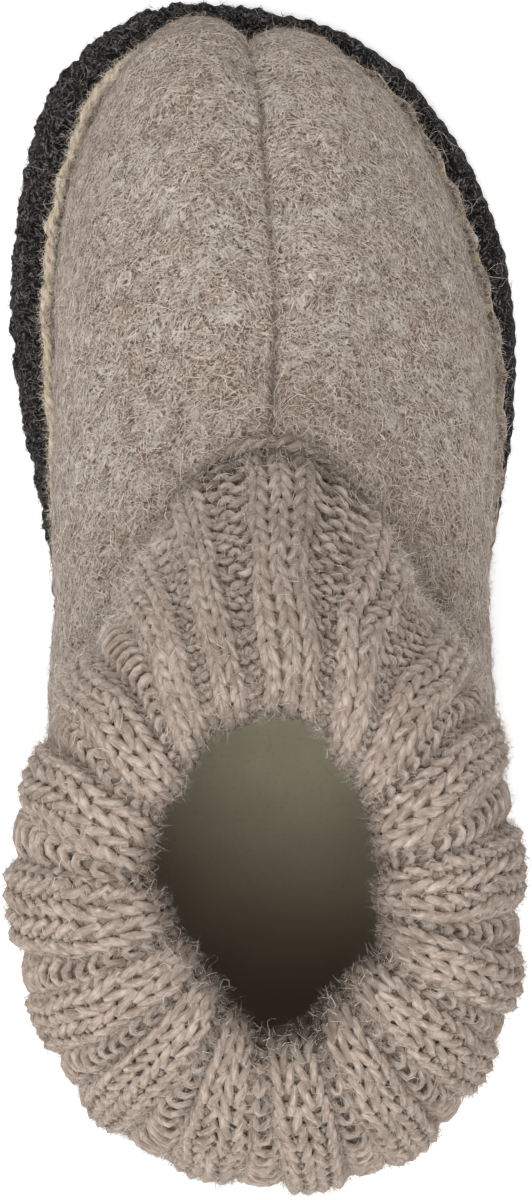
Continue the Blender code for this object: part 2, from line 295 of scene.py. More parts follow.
def boiled_wool():
    """Felt: grey and warm patches, dark gaps between the fibres and pale fibres on top. A tone above zero on
    its points paints shade on it, and a tone below zero paints light.
    """
    wool = Finish("boiled_wool", 0.95, 0.15, WOOL_LIGHT)
    tangle, fibre = wool.tangle(*FELT_FIBRES)
    patches = wool.noise(330, 4.0, 0.6, 0.8)
    clouds = wool.noise(90, 3.0)
    stains = wool.noise(170, 3.0, 0.6)
    grey = wool.mix(wool.range(clouds, 0.38, 0.62), srgb(147, 133, 121), srgb(154, 147, 140))
    warm = wool.mix(wool.range(stains, 0.36, 0.50), srgb(131, 113, 98), grey)
    middle = wool.mix(wool.range(patches, 0.37, 0.58), srgb(110, 94, 82), warm)
    gaps = wool.mix(wool.range(tangle, 2.4, 3.0), srgb(72, 60, 52), middle)
    crossed = wool.mix(wool.range(fibre, 0.64, 0.82, 0.0, 0.85), gaps, srgb(188, 179, 170))
    # Painted shade where the tone is above zero, towards a deep brown; painted light where it is below zero,
    # towards a pale cream.
    tone = wool.node("ShaderNodeAttribute", {"attribute_name": "tone"}).outputs["Fac"]
    paler = wool.mix(wool.range(tone, 0.0, -1.0), crossed, srgb(226, 220, 214))
    wool.colour(wool.mix(wool.range(tone, 0.0, 1.0), paler, srgb(82, 68, 58)))
    relief = wool.math("ADD", wool.math("MULTIPLY", fibre, 2.0), wool.math("MULTIPLY", patches, 5.0))
    wool.bump(relief, 0.00014, 0.8)
    return wool.material


def spun_yarn(name, gap, dull, plain, lit, side):
    """Yarn: fibres along it from its UV map, dull and plain by patches, a painted highlight along its
    top and painted shade down its sides. A tone above zero on its points darkens it towards a deep
    brown, and one below zero mats it into felt."""
    yarn = Finish(name, 0.92, 0.1, WOOL_LIGHT)
    strands = yarn.noise(1.0, 2.0, 0.5, 0.5, yarn.stretch(yarn.place["UV"], (0.7, 5.0, 1.0)))
    threads = yarn.noise(1.0, 2.0, 0.6, 0.3, yarn.stretch(yarn.place["UV"], (1.0, 16.0, 1.0)))
    patches = yarn.noise(330, 2.0)
    both = yarn.math("ADD", yarn.math("MULTIPLY", strands, 0.6), yarn.math("MULTIPLY", threads, 0.4))
    middle = yarn.mix(yarn.range(patches, 0.36, 0.64), dull, plain)
    gaps = yarn.mix(yarn.range(both, 0.37, 0.50), gap, middle)
    raised = yarn.mix(yarn.range(both, 0.51, 0.66, 0.0, 0.7), gaps, lit)
    around = yarn.node("ShaderNodeSeparateXYZ", Vector=yarn.place["UV"]).outputs["Y"]
    off_top = yarn.math("ABSOLUTE", yarn.math("SUBTRACT", around, 0.5))
    # Painted highlight: the lit colour along the top of the yarn.
    crown = yarn.mix(yarn.range(off_top, 0.0, 0.16, 0.16, 0.0), raised, lit)
    # Painted shade: the side colour down the yarn's sides, where strands shade each other.
    shaded = yarn.mix(yarn.range(off_top, 0.14, 0.36, 0.0, 0.5), crown, side)
    tone = yarn.node("ShaderNodeAttribute", {"attribute_name": "tone"}).outputs["Fac"]
    crossed = yarn.range(yarn.tangle(*MATTED_FIBRES)[0], 2.4, 3.6)
    felted = yarn.mix(crossed, srgb(130, 120, 110), srgb(214, 207, 200))
    matted = yarn.mix(yarn.range(tone, 0.0, -1.0), shaded, felted)
    # A tone above zero darkens the yarn towards a deep brown, which on the knit paints shade.
    yarn.colour(yarn.mix(yarn.range(tone, 0.0, 1.0), matted, srgb(58, 49, 42)))
    yarn.bump(both, 0.0004, 0.4)
    return yarn.material


def hair(name, dark, light):
    """Loose hairs: each one a colour between dark and light, by the tone on its points."""
    strand = Finish(name, 0.8)
    tone = strand.node("ShaderNodeAttribute", {"attribute_name": "tone"}).outputs["Fac"]
    strand.colour(strand.mix(tone, dark, light))
    return strand.material


wool_finish = boiled_wool()
yarn_finish = spun_yarn("knitting_yarn", gap=srgb(118, 102, 91), dull=srgb(125, 110, 98),
                        plain=srgb(156, 142, 131), lit=srgb(188, 176, 166), side=srgb(98, 82, 71))
edging_finish = spun_yarn("edging_yarn", gap=srgb(112, 94, 76), dull=srgb(172, 157, 137),
                          plain=srgb(190, 178, 160), lit=srgb(210, 199, 183), side=srgb(92, 76, 61))
hair_finish = hair("wool_hair", srgb(112, 97, 84), srgb(216, 205, 194))
pale_hair_finish = hair("pale_hair", srgb(168, 152, 132), srgb(230, 220, 204))
dark_hair_finish = hair("sole_hair", srgb(16, 15, 15), srgb(104, 100, 98))
print("wool finishes ready")

# %% [markdown]
# ## The other finishes
# The sole is dense black wool, nearly matt, with pale flecks where a fibre catches the light. The
# insole is a smooth olive-grey felt, with a painted shade that turns it darker and browner towards
# the heel. The cuff has a plain wool behind its yarn, which shows only in the gaps between
# stitches; it is a little darker than the yarn, as painted shade in those gaps. The lip is sewn
# with tan thread.


# %% Make the sole, insole, backing and thread finishes
# Length and width of the drawn fibres in metres, and where the painted shade on the insole runs from the heel
# to the arch.
SOLE_FIBRES, THREAD_FIBRES = (0.0016, 0.0003), (0.002, 0.0004)
SHADE_AT_HEEL, SHADE_TO_ARCH = -0.062, -0.024


def black_felt():
    """The sole: black with greyer lumps and fine pale fibres."""
    felt = Finish("black_felt", 0.9, 0.03, srgb(120, 112, 118))
    lumps = felt.noise(420, 4.0, 0.65, 1.0)
    tangle, fibre = felt.tangle(*SOLE_FIBRES)
    tint = felt.mix(felt.noise(140, 2.0), srgb(7, 6, 6), srgb(14, 12, 13))
    grey = felt.mix(felt.range(lumps, 0.48, 0.72), tint, srgb(44, 41, 40))
    felt.colour(felt.mix(felt.range(fibre, 0.69, 0.84, 0.0, 0.85), grey, srgb(128, 123, 119)))
    relief = felt.math("ADD", felt.math("MULTIPLY", lumps, 8.0), felt.math("MULTIPLY", tangle, 2.0))
    felt.bump(relief, 0.00024, 1.0)
    return felt.material


def insole_felt():
    """The insole: olive-grey with a fine grain, and a painted shade that turns it darker and browner from the
    arch to the heel.
    """
    felt = Finish("insole_felt", 0.9, 0.1)
    grain = felt.noise(1300, 3.0, 0.6)
    patches = felt.noise(90, 3.0)
    base = felt.mix(felt.range(patches, 0.3, 0.7), srgb(164, 156, 132), srgb(176, 168, 144))
    along = felt.node("ShaderNodeSeparateXYZ", Vector=felt.place["Object"]).outputs["Y"]
    # Painted shade: the insole turns darker and browner from the arch to the heel.
    heel_shade = felt.mix(felt.range(along, SHADE_AT_HEEL, SHADE_TO_ARCH), srgb(128, 110, 92), base)
    felt.colour(felt.mix(felt.range(grain, 0.24, 0.46, 0.75, 1.0), srgb(120, 112, 93), heel_shade))
    felt.bump(grain, 0.0002, 0.5)
    return felt.material


def backing_wool():
    """The layer behind the knit: plain and matt, and a little darker than the yarn, as painted shade in the
    gaps between stitches.
    """
    wool = Finish("backing_wool", 0.95)
    # Painted shade: darker than the yarn, so the gaps between stitches read as shadowed.
    wool.colour(wool.mix(wool.noise(700, 4.0), srgb(120, 104, 92), srgb(146, 130, 117)))
    wool.bump(wool.noise(900, 4.0), 0.0005, 0.6)
    return wool.material


def tan_thread():
    """The lip's stitches: olive-tan thread with darker gaps between its fibres."""
    thread = Finish("tan_thread", 0.9)
    crossed = thread.range(thread.tangle(*THREAD_FIBRES)[0], 2.4, 3.2)
    thread.colour(thread.mix(crossed, srgb(92, 83, 62), srgb(148, 137, 108)))
    return thread.material


thread_finish = tan_thread()
sole_finish = black_felt()
insole_finish = insole_felt()
backing_finish = backing_wool()
print("other finishes ready")

# %% [markdown]
# ## The shape of the shoe
# A short table, close to the one behind the solids, holds the shape: one row for each station round
# the shoe, from the toe seam by the big-toe side to the heel and back. Each row has the sole's edge,
# how far inside it the upper's lip stands, the collar seam above that place, and the bulge of the
# wall between, all in millimetres apart from the reach, which is a share. Reading the columns at any
# share of a turn gives a smooth shoe at any fineness. At the toe the sole curls up from the floor.

# %% The stations
STATION_COLUMNS = "sole_x sole_y margin top_x top_y top_z rise lean reach swell drop".split()
STATIONS = np.array([
    (-2.5, 86.6, 4.0, 0.8, 21.7, 57.0, 17.0, 11.0, 0.62, 0.0, 10.0),
    (-13.5, 87.0, 4.4, -2.4, 21.4, 57.0, 17.0, 10.0, 0.60, 0.0, 9.0),
    (-26.2, 80.9, 5.7, -6.0, 20.2, 56.6, 18.0, 3.6, 0.56, 0.5, 8.5),
    (-32.2, 73.5, 6.4, -8.6, 18.8, 56.2, 19.0, 2.0, 0.53, 1.0, 8.0),
    (-34.9, 65.0, 5.7, -10.8, 17.0, 55.8, 20.0, 1.3, 0.50, 1.5, 7.5),
    (-37.4, 42.0, 5.0, -15.2, 11.0, 55.3, 22.0, 0.6, 0.50, 3.0, 6.5),
    (-34.8, 22.0, 3.2, -20.0, 0.8, 53.9, 22.0, 1.9, 0.46, 5.0, 7.5),
    (-30.2, -4.0, 0.7, -26.6, -12.0, 51.0, 18.0, 3.0, 0.30, 5.2, 12.0),
    (-29.4, -34.0, 1.8, -29.8, -34.0, 49.0, 15.0, 5.0, 0.0, 4.0, 15.0),
    (-28.6, -58.0, 1.8, -29.2, -57.0, 47.0, 14.0, 4.0, 0.0, 3.0, 15.0),
    (-18.8, -77.0, 1.8, -19.2, -74.2, 46.0, 14.0, 3.5, 0.0, 2.5, 14.0),
    (0.5, -83.2, 1.8, 0.5, -79.8, 45.5, 14.0, 3.5, 0.0, 2.0, 14.0),
    (19.8, -77.0, 1.8, 20.2, -74.2, 46.0, 14.0, 3.5, 0.0, 2.5, 14.0),
    (29.6, -58.0, 1.8, 30.2, -57.0, 47.0, 14.0, 4.0, 0.0, 3.0, 15.0),
    (30.4, -34.0, 1.8, 31.2, -34.0, 49.0, 15.0, 5.0, 0.0, 3.5, 15.0),
    (31.4, -4.0, 0.6, 29.4, -12.0, 51.0, 18.0, 2.8, 0.30, 3.6, 12.0),
    (35.3, 18.0, 0.7, 22.3, 0.7, 53.9, 22.0, 1.0, 0.46, 4.5, 7.5),
    (36.8, 36.0, 2.2, 16.8, 10.9, 55.3, 22.0, 0.3, 0.50, 3.0, 6.5),
    (31.8, 60.2, 3.7, 12.0, 17.0, 55.8, 20.0, 0.9, 0.50, 1.5, 7.5),
    (23.8, 73.1, 3.1, 9.4, 18.8, 56.2, 19.0, 2.2, 0.53, 1.0, 8.0),
    (16.5, 80.2, 3.2, 7.2, 20.2, 56.6, 18.0, 3.8, 0.56, 0.5, 8.5),
    (6.5, 84.8, 3.9, 4.0, 21.4, 57.0, 17.0, 10.0, 0.60, 0.0, 9.0),
])
chord = np.linalg.norm(np.roll(STATIONS[:, :2], -1, axis=0) - STATIONS[:, :2], axis=1)
STATION_PLACES = np.append(0.0, np.cumsum(chord)[:-1])
ROUND_SOLE = chord.sum()
SOLE_THICKNESS, JOINT_GAP, LIP_WIDTH, LIP_HEIGHT, FELT_WALL = 8.0, 0.3, 2.0, 2.2, 3.0
TOE_SPRING_FROM, TOE_SPRING_RUN, TOE_SPRING_RISE = 46.0, 41.0, 3.5
NEARBY = 4e-4


def read(name, share):
    """A column of the table at shares of a turn from the toe seam."""
    column = STATIONS[:, STATION_COLUMNS.index(name)]
    return closed_spline(STATION_PLACES, column, ROUND_SOLE, share * ROUND_SOLE)


def sole_edge(share, inset=0.0):
    """The sole's outline, moved inwards by inset along its own level normal."""
    shares = (share, share - NEARBY, share + NEARBY)
    at = [np.stack([read("sole_x", s), read("sole_y", s)], axis=-1) for s in shares]
    along = unit(at[2] - at[1])
    out = np.stack([along[..., 1], -along[..., 0]], axis=-1)
    return at[0] - out * np.reshape(inset, (-1, 1)), out


def on_sole(plan, height):
    """Plan points at a height above the sole's underside, which curls up as the toe spring."""
    past = np.clip((plan[..., 1] - TOE_SPRING_FROM) / TOE_SPRING_RUN, 0, None)
    return np.concatenate([plan, (height + TOE_SPRING_RISE * past**2)[..., None]], axis=-1)


print(f"round the sole: {ROUND_SOLE:.0f} mm")

# %% [markdown]
# ## The black felt sole
# The sole is a thick plate of black felt whose edge bulges out past the upper. Its side is a
# rounded profile carried round the outline. The real edge is pressed and whipped over, which
# leaves slanting lumps about three millimetres apart, so a slanted wave and some noise push the
# profile in and out. The big-toe side is the more crumbly one. Rungs from one side to the other
# close the two faces.


# %% Make the sole
def plate_quads(rings, columns):
    """Side faces of stacked rings, and rungs from side to side across the bottom and the top."""
    column, ring = np.arange(columns)[:, None], np.arange(rings - 1)[None, :]
    after = (column + 1) % columns
    low, high = ring * columns, (ring + 1) * columns
    side = np.stack([low + column, low + after, high + after, high + column], axis=-1).reshape(-1, 4)
    step = np.arange(columns // 2)
    rungs = np.stack([step, step + 1, columns - step - 1, (columns - step) % columns], axis=-1)
    top = rungs + (rings - 1) * columns
    return np.vstack([side, rungs[:, ::-1], top])


def felt_plate(columns, profile, inset, bed):
    """Rings of a plate: each row of the profile is an inset from the outline and a height."""
    share = np.arange(columns) / columns
    rings = [on_sole(sole_edge(share, inset(share) + further)[0], np.full(columns, bed + height))
             for further, height in profile]
    return np.stack(rings), sole_edge(share)[1]


SOLE_COLUMNS, WHIP_LUMPS, WHIP_SLANT = 1080, 158, 0.12
SOLE_PROFILE = [(4.0, 0.0), (2.6, 0.0), (1.5, 0.3), (0.7, 1.1), (0.2, 2.2), (0.0, 3.4), (0.0, 4.6),
                (0.2, 5.6), (0.6, 6.5), (1.2, 7.2), (2.0, 7.7), (2.9, 7.95), (4.0, 8.0), (6.0, 8.0)]
rings, out = felt_plate(SOLE_COLUMNS, SOLE_PROFILE, lambda share: 0 * share, 0.0)
height = rings[..., 2]
whip = np.abs(np.sin(np.pi * (np.arange(SOLE_COLUMNS) / SOLE_COLUMNS * WHIP_LUMPS + height * WHIP_SLANT)))
crumbs = soft_step(-rings[..., 0], -25.0, 20.0)
coarse, fine = soft_noise(rings, 2.2, 3), soft_noise(rings, 0.9, 4)
lumps = 0.26 * whip + (0.2 + 0.3 * crumbs) * coarse + (0.12 + 0.5 * crumbs) * fine - 0.3
inset = np.array(SOLE_PROFILE)[:, :1]
on_edge = soft_step(height, 0.2, 1.6) * soft_step(inset, 5.0, 1.5)
rings[..., :2] += out[None] * (lumps * on_edge)[..., None]
rings[..., 2] += (0.15 + 0.4 * crumbs) * soft_noise(rings, 1.1, 5) * soft_step(height, 5.0, 7.0) * on_edge
sole_rings = rings
sole = lay_mesh("felt_sole", rings, plate_quads(len(rings), SOLE_COLUMNS), sole_finish)
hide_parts("outsole")

# %% [markdown]
# ## The insole
# Only a patch of the insole shows, far down through the opening. It is a thin smooth plate that
# fits inside the foot of the upper, so it is made in the same way with a softer profile.

# %% Make the insole
INSOLE_COLUMNS, INSOLE_PLAY = 240, 0.8
INSOLE_PROFILE = [(2.0, 0.0), (0.5, 0.0), (0.0, 0.8), (0.0, 1.6), (0.5, 2.2), (1.4, 2.5), (3.0, 2.5)]


def insole_inset(share):
    """How far the insole stands inside the sole's edge: past the lip and the wall, with some play."""
    return read("margin", share) + LIP_WIDTH + FELT_WALL + INSOLE_PLAY


rings, _ = felt_plate(INSOLE_COLUMNS, INSOLE_PROFILE, insole_inset, SOLE_THICKNESS + JOINT_GAP)
insole = lay_mesh("smooth_insole", rings, plate_quads(len(rings), INSOLE_COLUMNS), insole_finish)
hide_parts("insole")

# %% [markdown]
# ## The boiled-wool upper
# The upper is one hollow piece: a lip on the sole, an outer face that arches to the collar, a
# rounded collar edge and an inner face. Each share of a turn gives one closed section, and the
# sections join round the shoe. The centre seam is a narrow crease in a broad shallow trough, with
# a full lobe either side. It doesn't run quite straight, so a short table says how far to the side
# it is at a few places up the vamp. Boiling shrinks wool unevenly, so noise of a few sizes pushes
# the face in and out.


# %% The felt wall
def felt_arch(share, t):
    """The smooth outer face: a Bezier at each share, from the lip up and over to the collar seam."""
    plan, out = sole_edge(share, read("margin", share) + LIP_WIDTH)
    base = on_sole(plan, np.full(len(share), SOLE_THICKNESS + JOINT_GAP + LIP_HEIGHT))
    out = np.column_stack([out, np.zeros(len(share))])
    collar = np.stack([read(name, share) for name in ("top_x", "top_y", "top_z")], axis=1)
    up = np.array([0.0, 0.0, 1.0])
    col = {name: read(name, share)[:, None] for name in ("rise", "lean", "reach", "swell", "drop")}
    leave = base + up * col["rise"] + out * col["lean"]
    back = (base - collar) * np.array([1.0, 1.0, 0.0])
    arrive = collar + back * col["reach"] + out * col["swell"] - up * col["drop"]
    return bezier(*(p[:, None, :] for p in (base, leave, arrive, collar)), t[None, :, None])


SEAM_LINE = np.array([(22, 0.7), (36, 1.4), (43, 1.4), (53, 0.7), (63, -0.1), (71, -0.6), (84, -2.5)])
# Depth and size of each swell in millimetres, and the seed of its noise.
UNEVEN = ((0.35, 6.0, 11), (0.22, 2.4, 12), (0.12, 1.1, 13))


def seam_relief(grid, seam):
    """Minus a crease and a broad trough at the centre seam, plus a lobe on each side. The crease is
    deep and open at the toe and narrows to a fine line up the vamp. Also gives a painted shade along
    the seam."""
    seam = np.column_stack([np.interp(seam[:, 1], *SEAM_LINE.T), seam[:, 1:]])
    across = np.linalg.norm(grid - seam[None, :, :], axis=2)
    on_vamp = np.clip((grid[..., 1] - seam[-1, 1] + 1.0) / 6.0, 0, 1)
    toe = soft_step(grid[..., 1], 62.0, 84.0)
    fine_line = (1.3 - 1.1 * toe) * np.exp(-((across / 0.40) ** 2))
    trough = 0.7 * np.exp(-((across / 3.0) ** 2))
    notch = 1.7 * toe * np.exp(-across / 2.6)
    crease = fine_line + trough + notch
    lobe = 1.0 * np.exp(-(((across - 9.0) / 8.0) ** 2))
    # The second value is a painted shade along the seam, less of it at the toe.
    return (lobe - crease) * on_vamp, (0.75 - 0.6 * toe) * np.exp(-((across / 0.28) ** 2)) * on_vamp


def felt_face(share, t, rough=1.0):
    """The outer face with its seam and the uneven swell that boiling leaves, and the seam's painted shade."""
    grid = felt_arch(share, t)
    normal = grid_normals(grid)
    relief, shade = seam_relief(grid, felt_arch(np.array([0.0]), t)[0])
    uneven = sum(depth * soft_noise(grid, size, seed) for depth, size, seed in UNEVEN)
    return grid + normal * (relief + rough * uneven)[..., None], shade


UPPER_COLUMNS, UPPER_ROWS, INNER_ROWS = 440, 84, 14
CROWDING, INNER_FOOT = 0.62, 0.06
even = np.arange(UPPER_COLUMNS) / UPPER_COLUMNS
share = even - CROWDING * np.sin(2 * np.pi * even) / (2 * np.pi)
t = np.linspace(0, 1, UPPER_ROWS)
face, shade = felt_face(share, t)
inner = felt_face(share, np.linspace(1, INNER_FOOT, INNER_ROWS), 0.0)[0]
inner = inner + grid_normals(inner) * FELT_WALL
print("felt face:", face.shape, "wall inside:", inner.shape)

# %% [markdown]
# The lip and the collar edge finish each section. The collar edge is a half round between the
# outer and the inner corner, so the felt ends in a soft round beside the knit. Under the wall the
# felt turns out into a thin flange that lies on the sole, with a groove where it is stitched. The
# flange waves in and out with the stitches that pull on it, and it has a notch at the toe seam.


# %% The lip and the collar edge
NOTCH_DEPTH, NOTCH_WIDTH, STITCH_COUNT = 2.6, 0.008, 56
EDGE_STEPS, EDGE_ROUND = 7, 0.9
LIP_PROFILE = [(0.5, 0.0), (0.15, 0.4), (0.1, 0.9), (0.4, 1.3), (0.9, 1.35), (1.35, 1.05),
               (1.7, 0.85), (1.95, 1.25)]


def lip_margin(share):
    """How far the lip stands inside the sole's edge: the table's margin, and more in the toe notch."""
    from_seam = (share + 0.5) % 1.0 - 0.5
    return read("margin", share) + NOTCH_DEPTH * np.exp(-((from_seam / NOTCH_WIDTH) ** 2))


margin = lip_margin(share)
bed = SOLE_THICKNESS + JOINT_GAP


def flange(inset, height):
    """A ring of the lip, inset from its outer edge and at a height above the sole."""
    plan = sole_edge(share, margin + inset)[0]
    wave = 0.34 * soft_noise(np.column_stack([plan, 0 * share]), 1.5, 21)
    wave = wave + 0.36 * np.cos(2 * np.pi * STITCH_COUNT * (share - 0.5 / STITCH_COUNT))
    plan = sole_edge(share, margin + inset + wave)[0]
    return on_sole(plan, np.full(UPPER_COLUMNS, bed + height))[:, None, :]


lip = [flange(*ring) for ring in LIP_PROFILE]
edge_out, edge_in = face[:, -1:], inner[:, :1]
middle, half = (edge_out + edge_in) / 2, (edge_out - edge_in) / 2
run = unit(face[:, -1:] - face[:, -4:-3])
turn = np.linspace(0, np.pi, EDGE_STEPS)[1:-1][None, :, None]
collar_edge = middle + half * np.cos(turn) + run * np.sin(turn) * EDGE_ROUND
foot = on_sole(sole_edge(share, margin + LIP_WIDTH + FELT_WALL)[0], np.full(UPPER_COLUMNS, bed))[:, None, :]
sections = np.concatenate([*lip, face, collar_edge, inner, foot], axis=1)
print("closed sections of the upper:", sections.shape)

# %% [markdown]
# The felt's shade is painted on as a tone on the points, since a bump alone doesn't darken a fold.
# The tone paints shade on the line of the centre seam and in the groove beside the lip, most on the
# big-toe side. In the hollow in front of the collar it paints shade and a brown stain. Below zero it
# paints light, which makes the upright flanks beside the instep a little paler.


# %% Shade and lay the upper
def by_big_toe(plan):
    """One beside the big toe, falling to nothing on the other side and at the heel."""
    return soft_step(-plan[..., 0], -8.0, 16.0) * soft_step(plan[..., 1], -40.0, 0.0)


tone = np.zeros(sections.shape[:2])
big_toe_side = by_big_toe(face[:, 0])
# Painted shade with a brown stain in the hollow in front of the collar, more of it on the little-toe side.
to_collar = np.linalg.norm(face - face[:, -1:], axis=2)
by_collar = (0.42 + 0.09 * np.sign(face[..., 0])) * soft_step(face[:, -1:, 1], -14.0, 0.0)
by_collar = by_collar * np.exp(-((to_collar / 12.0) ** 2))
# Painted shade in the groove beside the lip, most on the big-toe side.
inward = np.sum((face[:, :1] - face)[..., :2] * sole_edge(share)[1][:, None], axis=2)
groove = (0.2 + 0.5 * big_toe_side)[:, None] * (1 - soft_step(inward, 0.15, 0.7)) * (t < 0.5)
groove = groove * (0.65 + 0.5 * soft_noise(face, 1.2, 24))
# Painted light: the upright flanks beside the instep are made paler.
beside_instep = np.exp(-(((face[..., 1] + 10.0) / 36.0) ** 2))
flank_painted_light = soft_step(0.6 - grid_normals(face)[..., 2], 0.0, 0.6) * beside_instep
# The tone: painted shade above zero, and painted light on the flanks below zero.
darker = np.maximum.reduce([shade, by_collar, groove * (1 - flank_painted_light)])
tone[:, len(lip):len(lip) + UPPER_ROWS] = darker - 0.14 * flank_painted_light
# Painted shade on the top rings of the lip, in the groove, most on the big-toe side.
tone[:, len(lip) - 3:len(lip)] = (0.25 + 0.55 * big_toe_side)[:, None]
quads = wrap_quads(*sections.shape[:2])
upper = lay_mesh("boiled_wool_upper", sections, quads, wool_finish, tone=tone)
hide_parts("upper")

# %% [markdown]
# ## The edging and its stitches
# The felt's cut edge is whipped over with wool, which makes a pale cord along the lip. A cord is
# two strands that wind round one line, half a turn apart. Each strand is a tube, and a tube needs
# a frame at each point of its path. The normal of the surface gives one: the part of it at right
# angles to the path points out, and the cross product gives the side. The UV map runs along the
# yarn in millimetres and once round it, so that the fibres of the finish follow the strand.


# %% Twisted yarn
# How far apart on the UV map one yarn starts from the next, so that no two have the same fibres.
UV_APART = 37.0


def yarn_tubes(path, lie, radius, sides):
    """Rings round each path point: out times a cosine plus side times a sine of the angle."""
    ahead = unit(np.roll(path, -1, axis=1) - np.roll(path, 1, axis=1))
    out = unit(lie - ahead * np.sum(lie * ahead, axis=2, keepdims=True))
    side = np.cross(ahead, out)
    angle = (np.arange(sides) / sides * 2 * np.pi + np.pi)[None, None, :, None]
    round_it = out[:, :, None] * np.cos(angle) + side[:, :, None] * np.sin(angle)
    return path[:, :, None] + round_it * radius[:, :, None, None], round_it


def lay_yarn(name, path, lie, radius, finish, tone=0.0, sides=6):
    """Closed yarns, one for each row of the path. UVs run along in millimetres and once round."""
    tubes, facing = yarn_tubes(path, lie, np.broadcast_to(radius, path.shape[:2]), sides)
    strands, count = path.shape[:2]
    ring = wrap_quads(count, sides)[:, ::-1]
    quads = (np.arange(strands)[:, None, None] * count * sides + ring[None]).reshape(-1, 4)
    step = np.linalg.norm(np.roll(path, -1, axis=1) - path, axis=2)
    far = np.concatenate([np.zeros((strands, 1)), np.cumsum(step, axis=1)], axis=1)
    far = far + UV_APART * np.arange(strands)[:, None]
    i, j = np.meshgrid(np.arange(count), np.arange(sides), indexing="ij")
    corner_i = np.stack([i, i + 1, i + 1, i], axis=-1).reshape(-1, 4)[:, ::-1]
    corner_j = np.stack([j, j, j + 1, j + 1], axis=-1).reshape(-1, 4)[:, ::-1]
    uv = np.stack([far[:, corner_i], np.broadcast_to(corner_j / sides, (strands, *corner_j.shape))], axis=-1)
    tone = np.broadcast_to(np.reshape(tone, (*np.shape(tone), *[1] * (3 - np.ndim(tone)))), tubes.shape[:3])
    return lay_mesh(name, tubes, quads, finish, uv=uv, tone=tone), tubes, facing


def twist(line, up, reach, turn_length):
    """Two strands about a closed line: side times a cosine plus over times a sine, half a turn apart."""
    ahead = unit(np.roll(line, -1, axis=0) - np.roll(line, 1, axis=0))
    side = unit(np.cross(ahead, up))
    over = np.cross(side, ahead)
    step = np.linalg.norm(np.roll(line, -1, axis=0) - line, axis=1)
    turns = np.round(step.sum() / turn_length)
    angle = np.append(0.0, np.cumsum(step)[:-1]) / step.sum() * turns * 2 * np.pi
    angle = angle + np.array([[0.0], [np.pi]])
    across = side * np.cos(angle)[..., None] + over * np.sin(angle)[..., None]
    lie = np.broadcast_to(over, across.shape)
    return line + across * np.reshape(reach, (-1, 1)), lie


print("twisted yarn ready")

# %% [markdown]
# The edging fades out on the little-toe side, where the felt itself covers the edge, so there its
# line sinks into the lip and its strands grow thin.

# %% Make the edging
CORD_POINTS, CORD_INSET, CORD_LIFT, CORD_TURN = 1100, 0.5, 0.5, 4.4
place = np.arange(CORD_POINTS) / CORD_POINTS
plan = sole_edge(place, lip_margin(place) + CORD_INSET)[0]
pale = by_big_toe(plan)
sway = 0.4 * soft_noise(np.column_stack([plan, 0 * place]), 3.4, 22)
line = on_sole(sole_edge(place, lip_margin(place) + CORD_INSET + sway)[0], bed + CORD_LIFT + 0.75 * pale)
wild = 1 + 0.5 * soft_noise(line, 1.6, 23)
path, lie = twist(line, np.array([0.0, 0.0, 1.0]), (0.06 + 0.2 * pale) * wild, CORD_TURN)
edging = lay_yarn("lip_edging", path, lie, ((0.12 + 0.44 * pale) * wild)[None], edging_finish)
edging_yarn = (*edging[1:], lie)

# %% [markdown]
# Just inside the cord, tan thread holds the lip to the sole and shows where the edging doesn't
# cover it. Each stitch is a short fat bead of thread, lying along the groove. All of them are one
# grid: the first axis counts the stitches, and the other two go along and round each one.

# %% Make the stitches
STITCH_LENGTH, STITCH_RADIUS, STITCH_INSET, STITCH_LIFT = 2.6, 0.68, 1.45, 1.75
STITCH_RINGS, STITCH_SIDES = 7, 6
middle = (np.arange(STITCH_COUNT) + 0.5) / STITCH_COUNT
middle = middle[np.interp(middle, place, pale) < 0.3]
along = np.linspace(-1, 1, STITCH_RINGS)
at = (middle[:, None] + along[None, :] * STITCH_LENGTH / 2 / ROUND_SOLE).ravel()
line = on_sole(sole_edge(at, lip_margin(at) + STITCH_INSET)[0], np.full(at.size, bed + STITCH_LIFT))
line = line.reshape(-1, STITCH_RINGS, 3)
ahead = unit(np.gradient(line, axis=1))
side = unit(np.cross(ahead, np.array([0.0, 0.0, 1.0])))
over = np.cross(side, ahead)
angle = np.arange(STITCH_SIDES) / STITCH_SIDES * 2 * np.pi
reach = (STITCH_RADIUS * np.sqrt(np.clip(1.02 - along**2, 0, 1)))[None, :, None, None]
round_it = side[:, :, None] * np.cos(angle)[:, None] + over[:, :, None] * np.sin(angle)[:, None]
beads = line[:, :, None] + reach * round_it
ring, step = np.meshgrid(np.arange(STITCH_RINGS - 1), np.arange(STITCH_SIDES), indexing="ij")
low, high = ring * STITCH_SIDES, (ring + 1) * STITCH_SIDES
after = (step + 1) % STITCH_SIDES
one = np.stack([low + step, high + step, high + after, low + after], axis=-1).reshape(1, -1, 4)
quads = (np.arange(len(middle))[:, None, None] * STITCH_RINGS * STITCH_SIDES + one).reshape(-1, 4)
lay_mesh("lip_stitches", beads, quads, thread_finish)

# %% [markdown]
# ## The shape of the cuff
# The cuff is knitted as a tube, sewn to the collar and drawn in to a small opening. Its wall is a
# Bezier from the collar seam out and over to the rim, then a quarter of an ellipse that rolls over
# into the opening, then the inside. Every place round the collar gets such a section. A worn
# opening isn't a true oval, so a short table moves its edge out or in, in millimetres, at degrees
# from the front by the big-toe side. The knit is laid on the wall by rows, so each section is
# measured along its length and cut into equal rows.

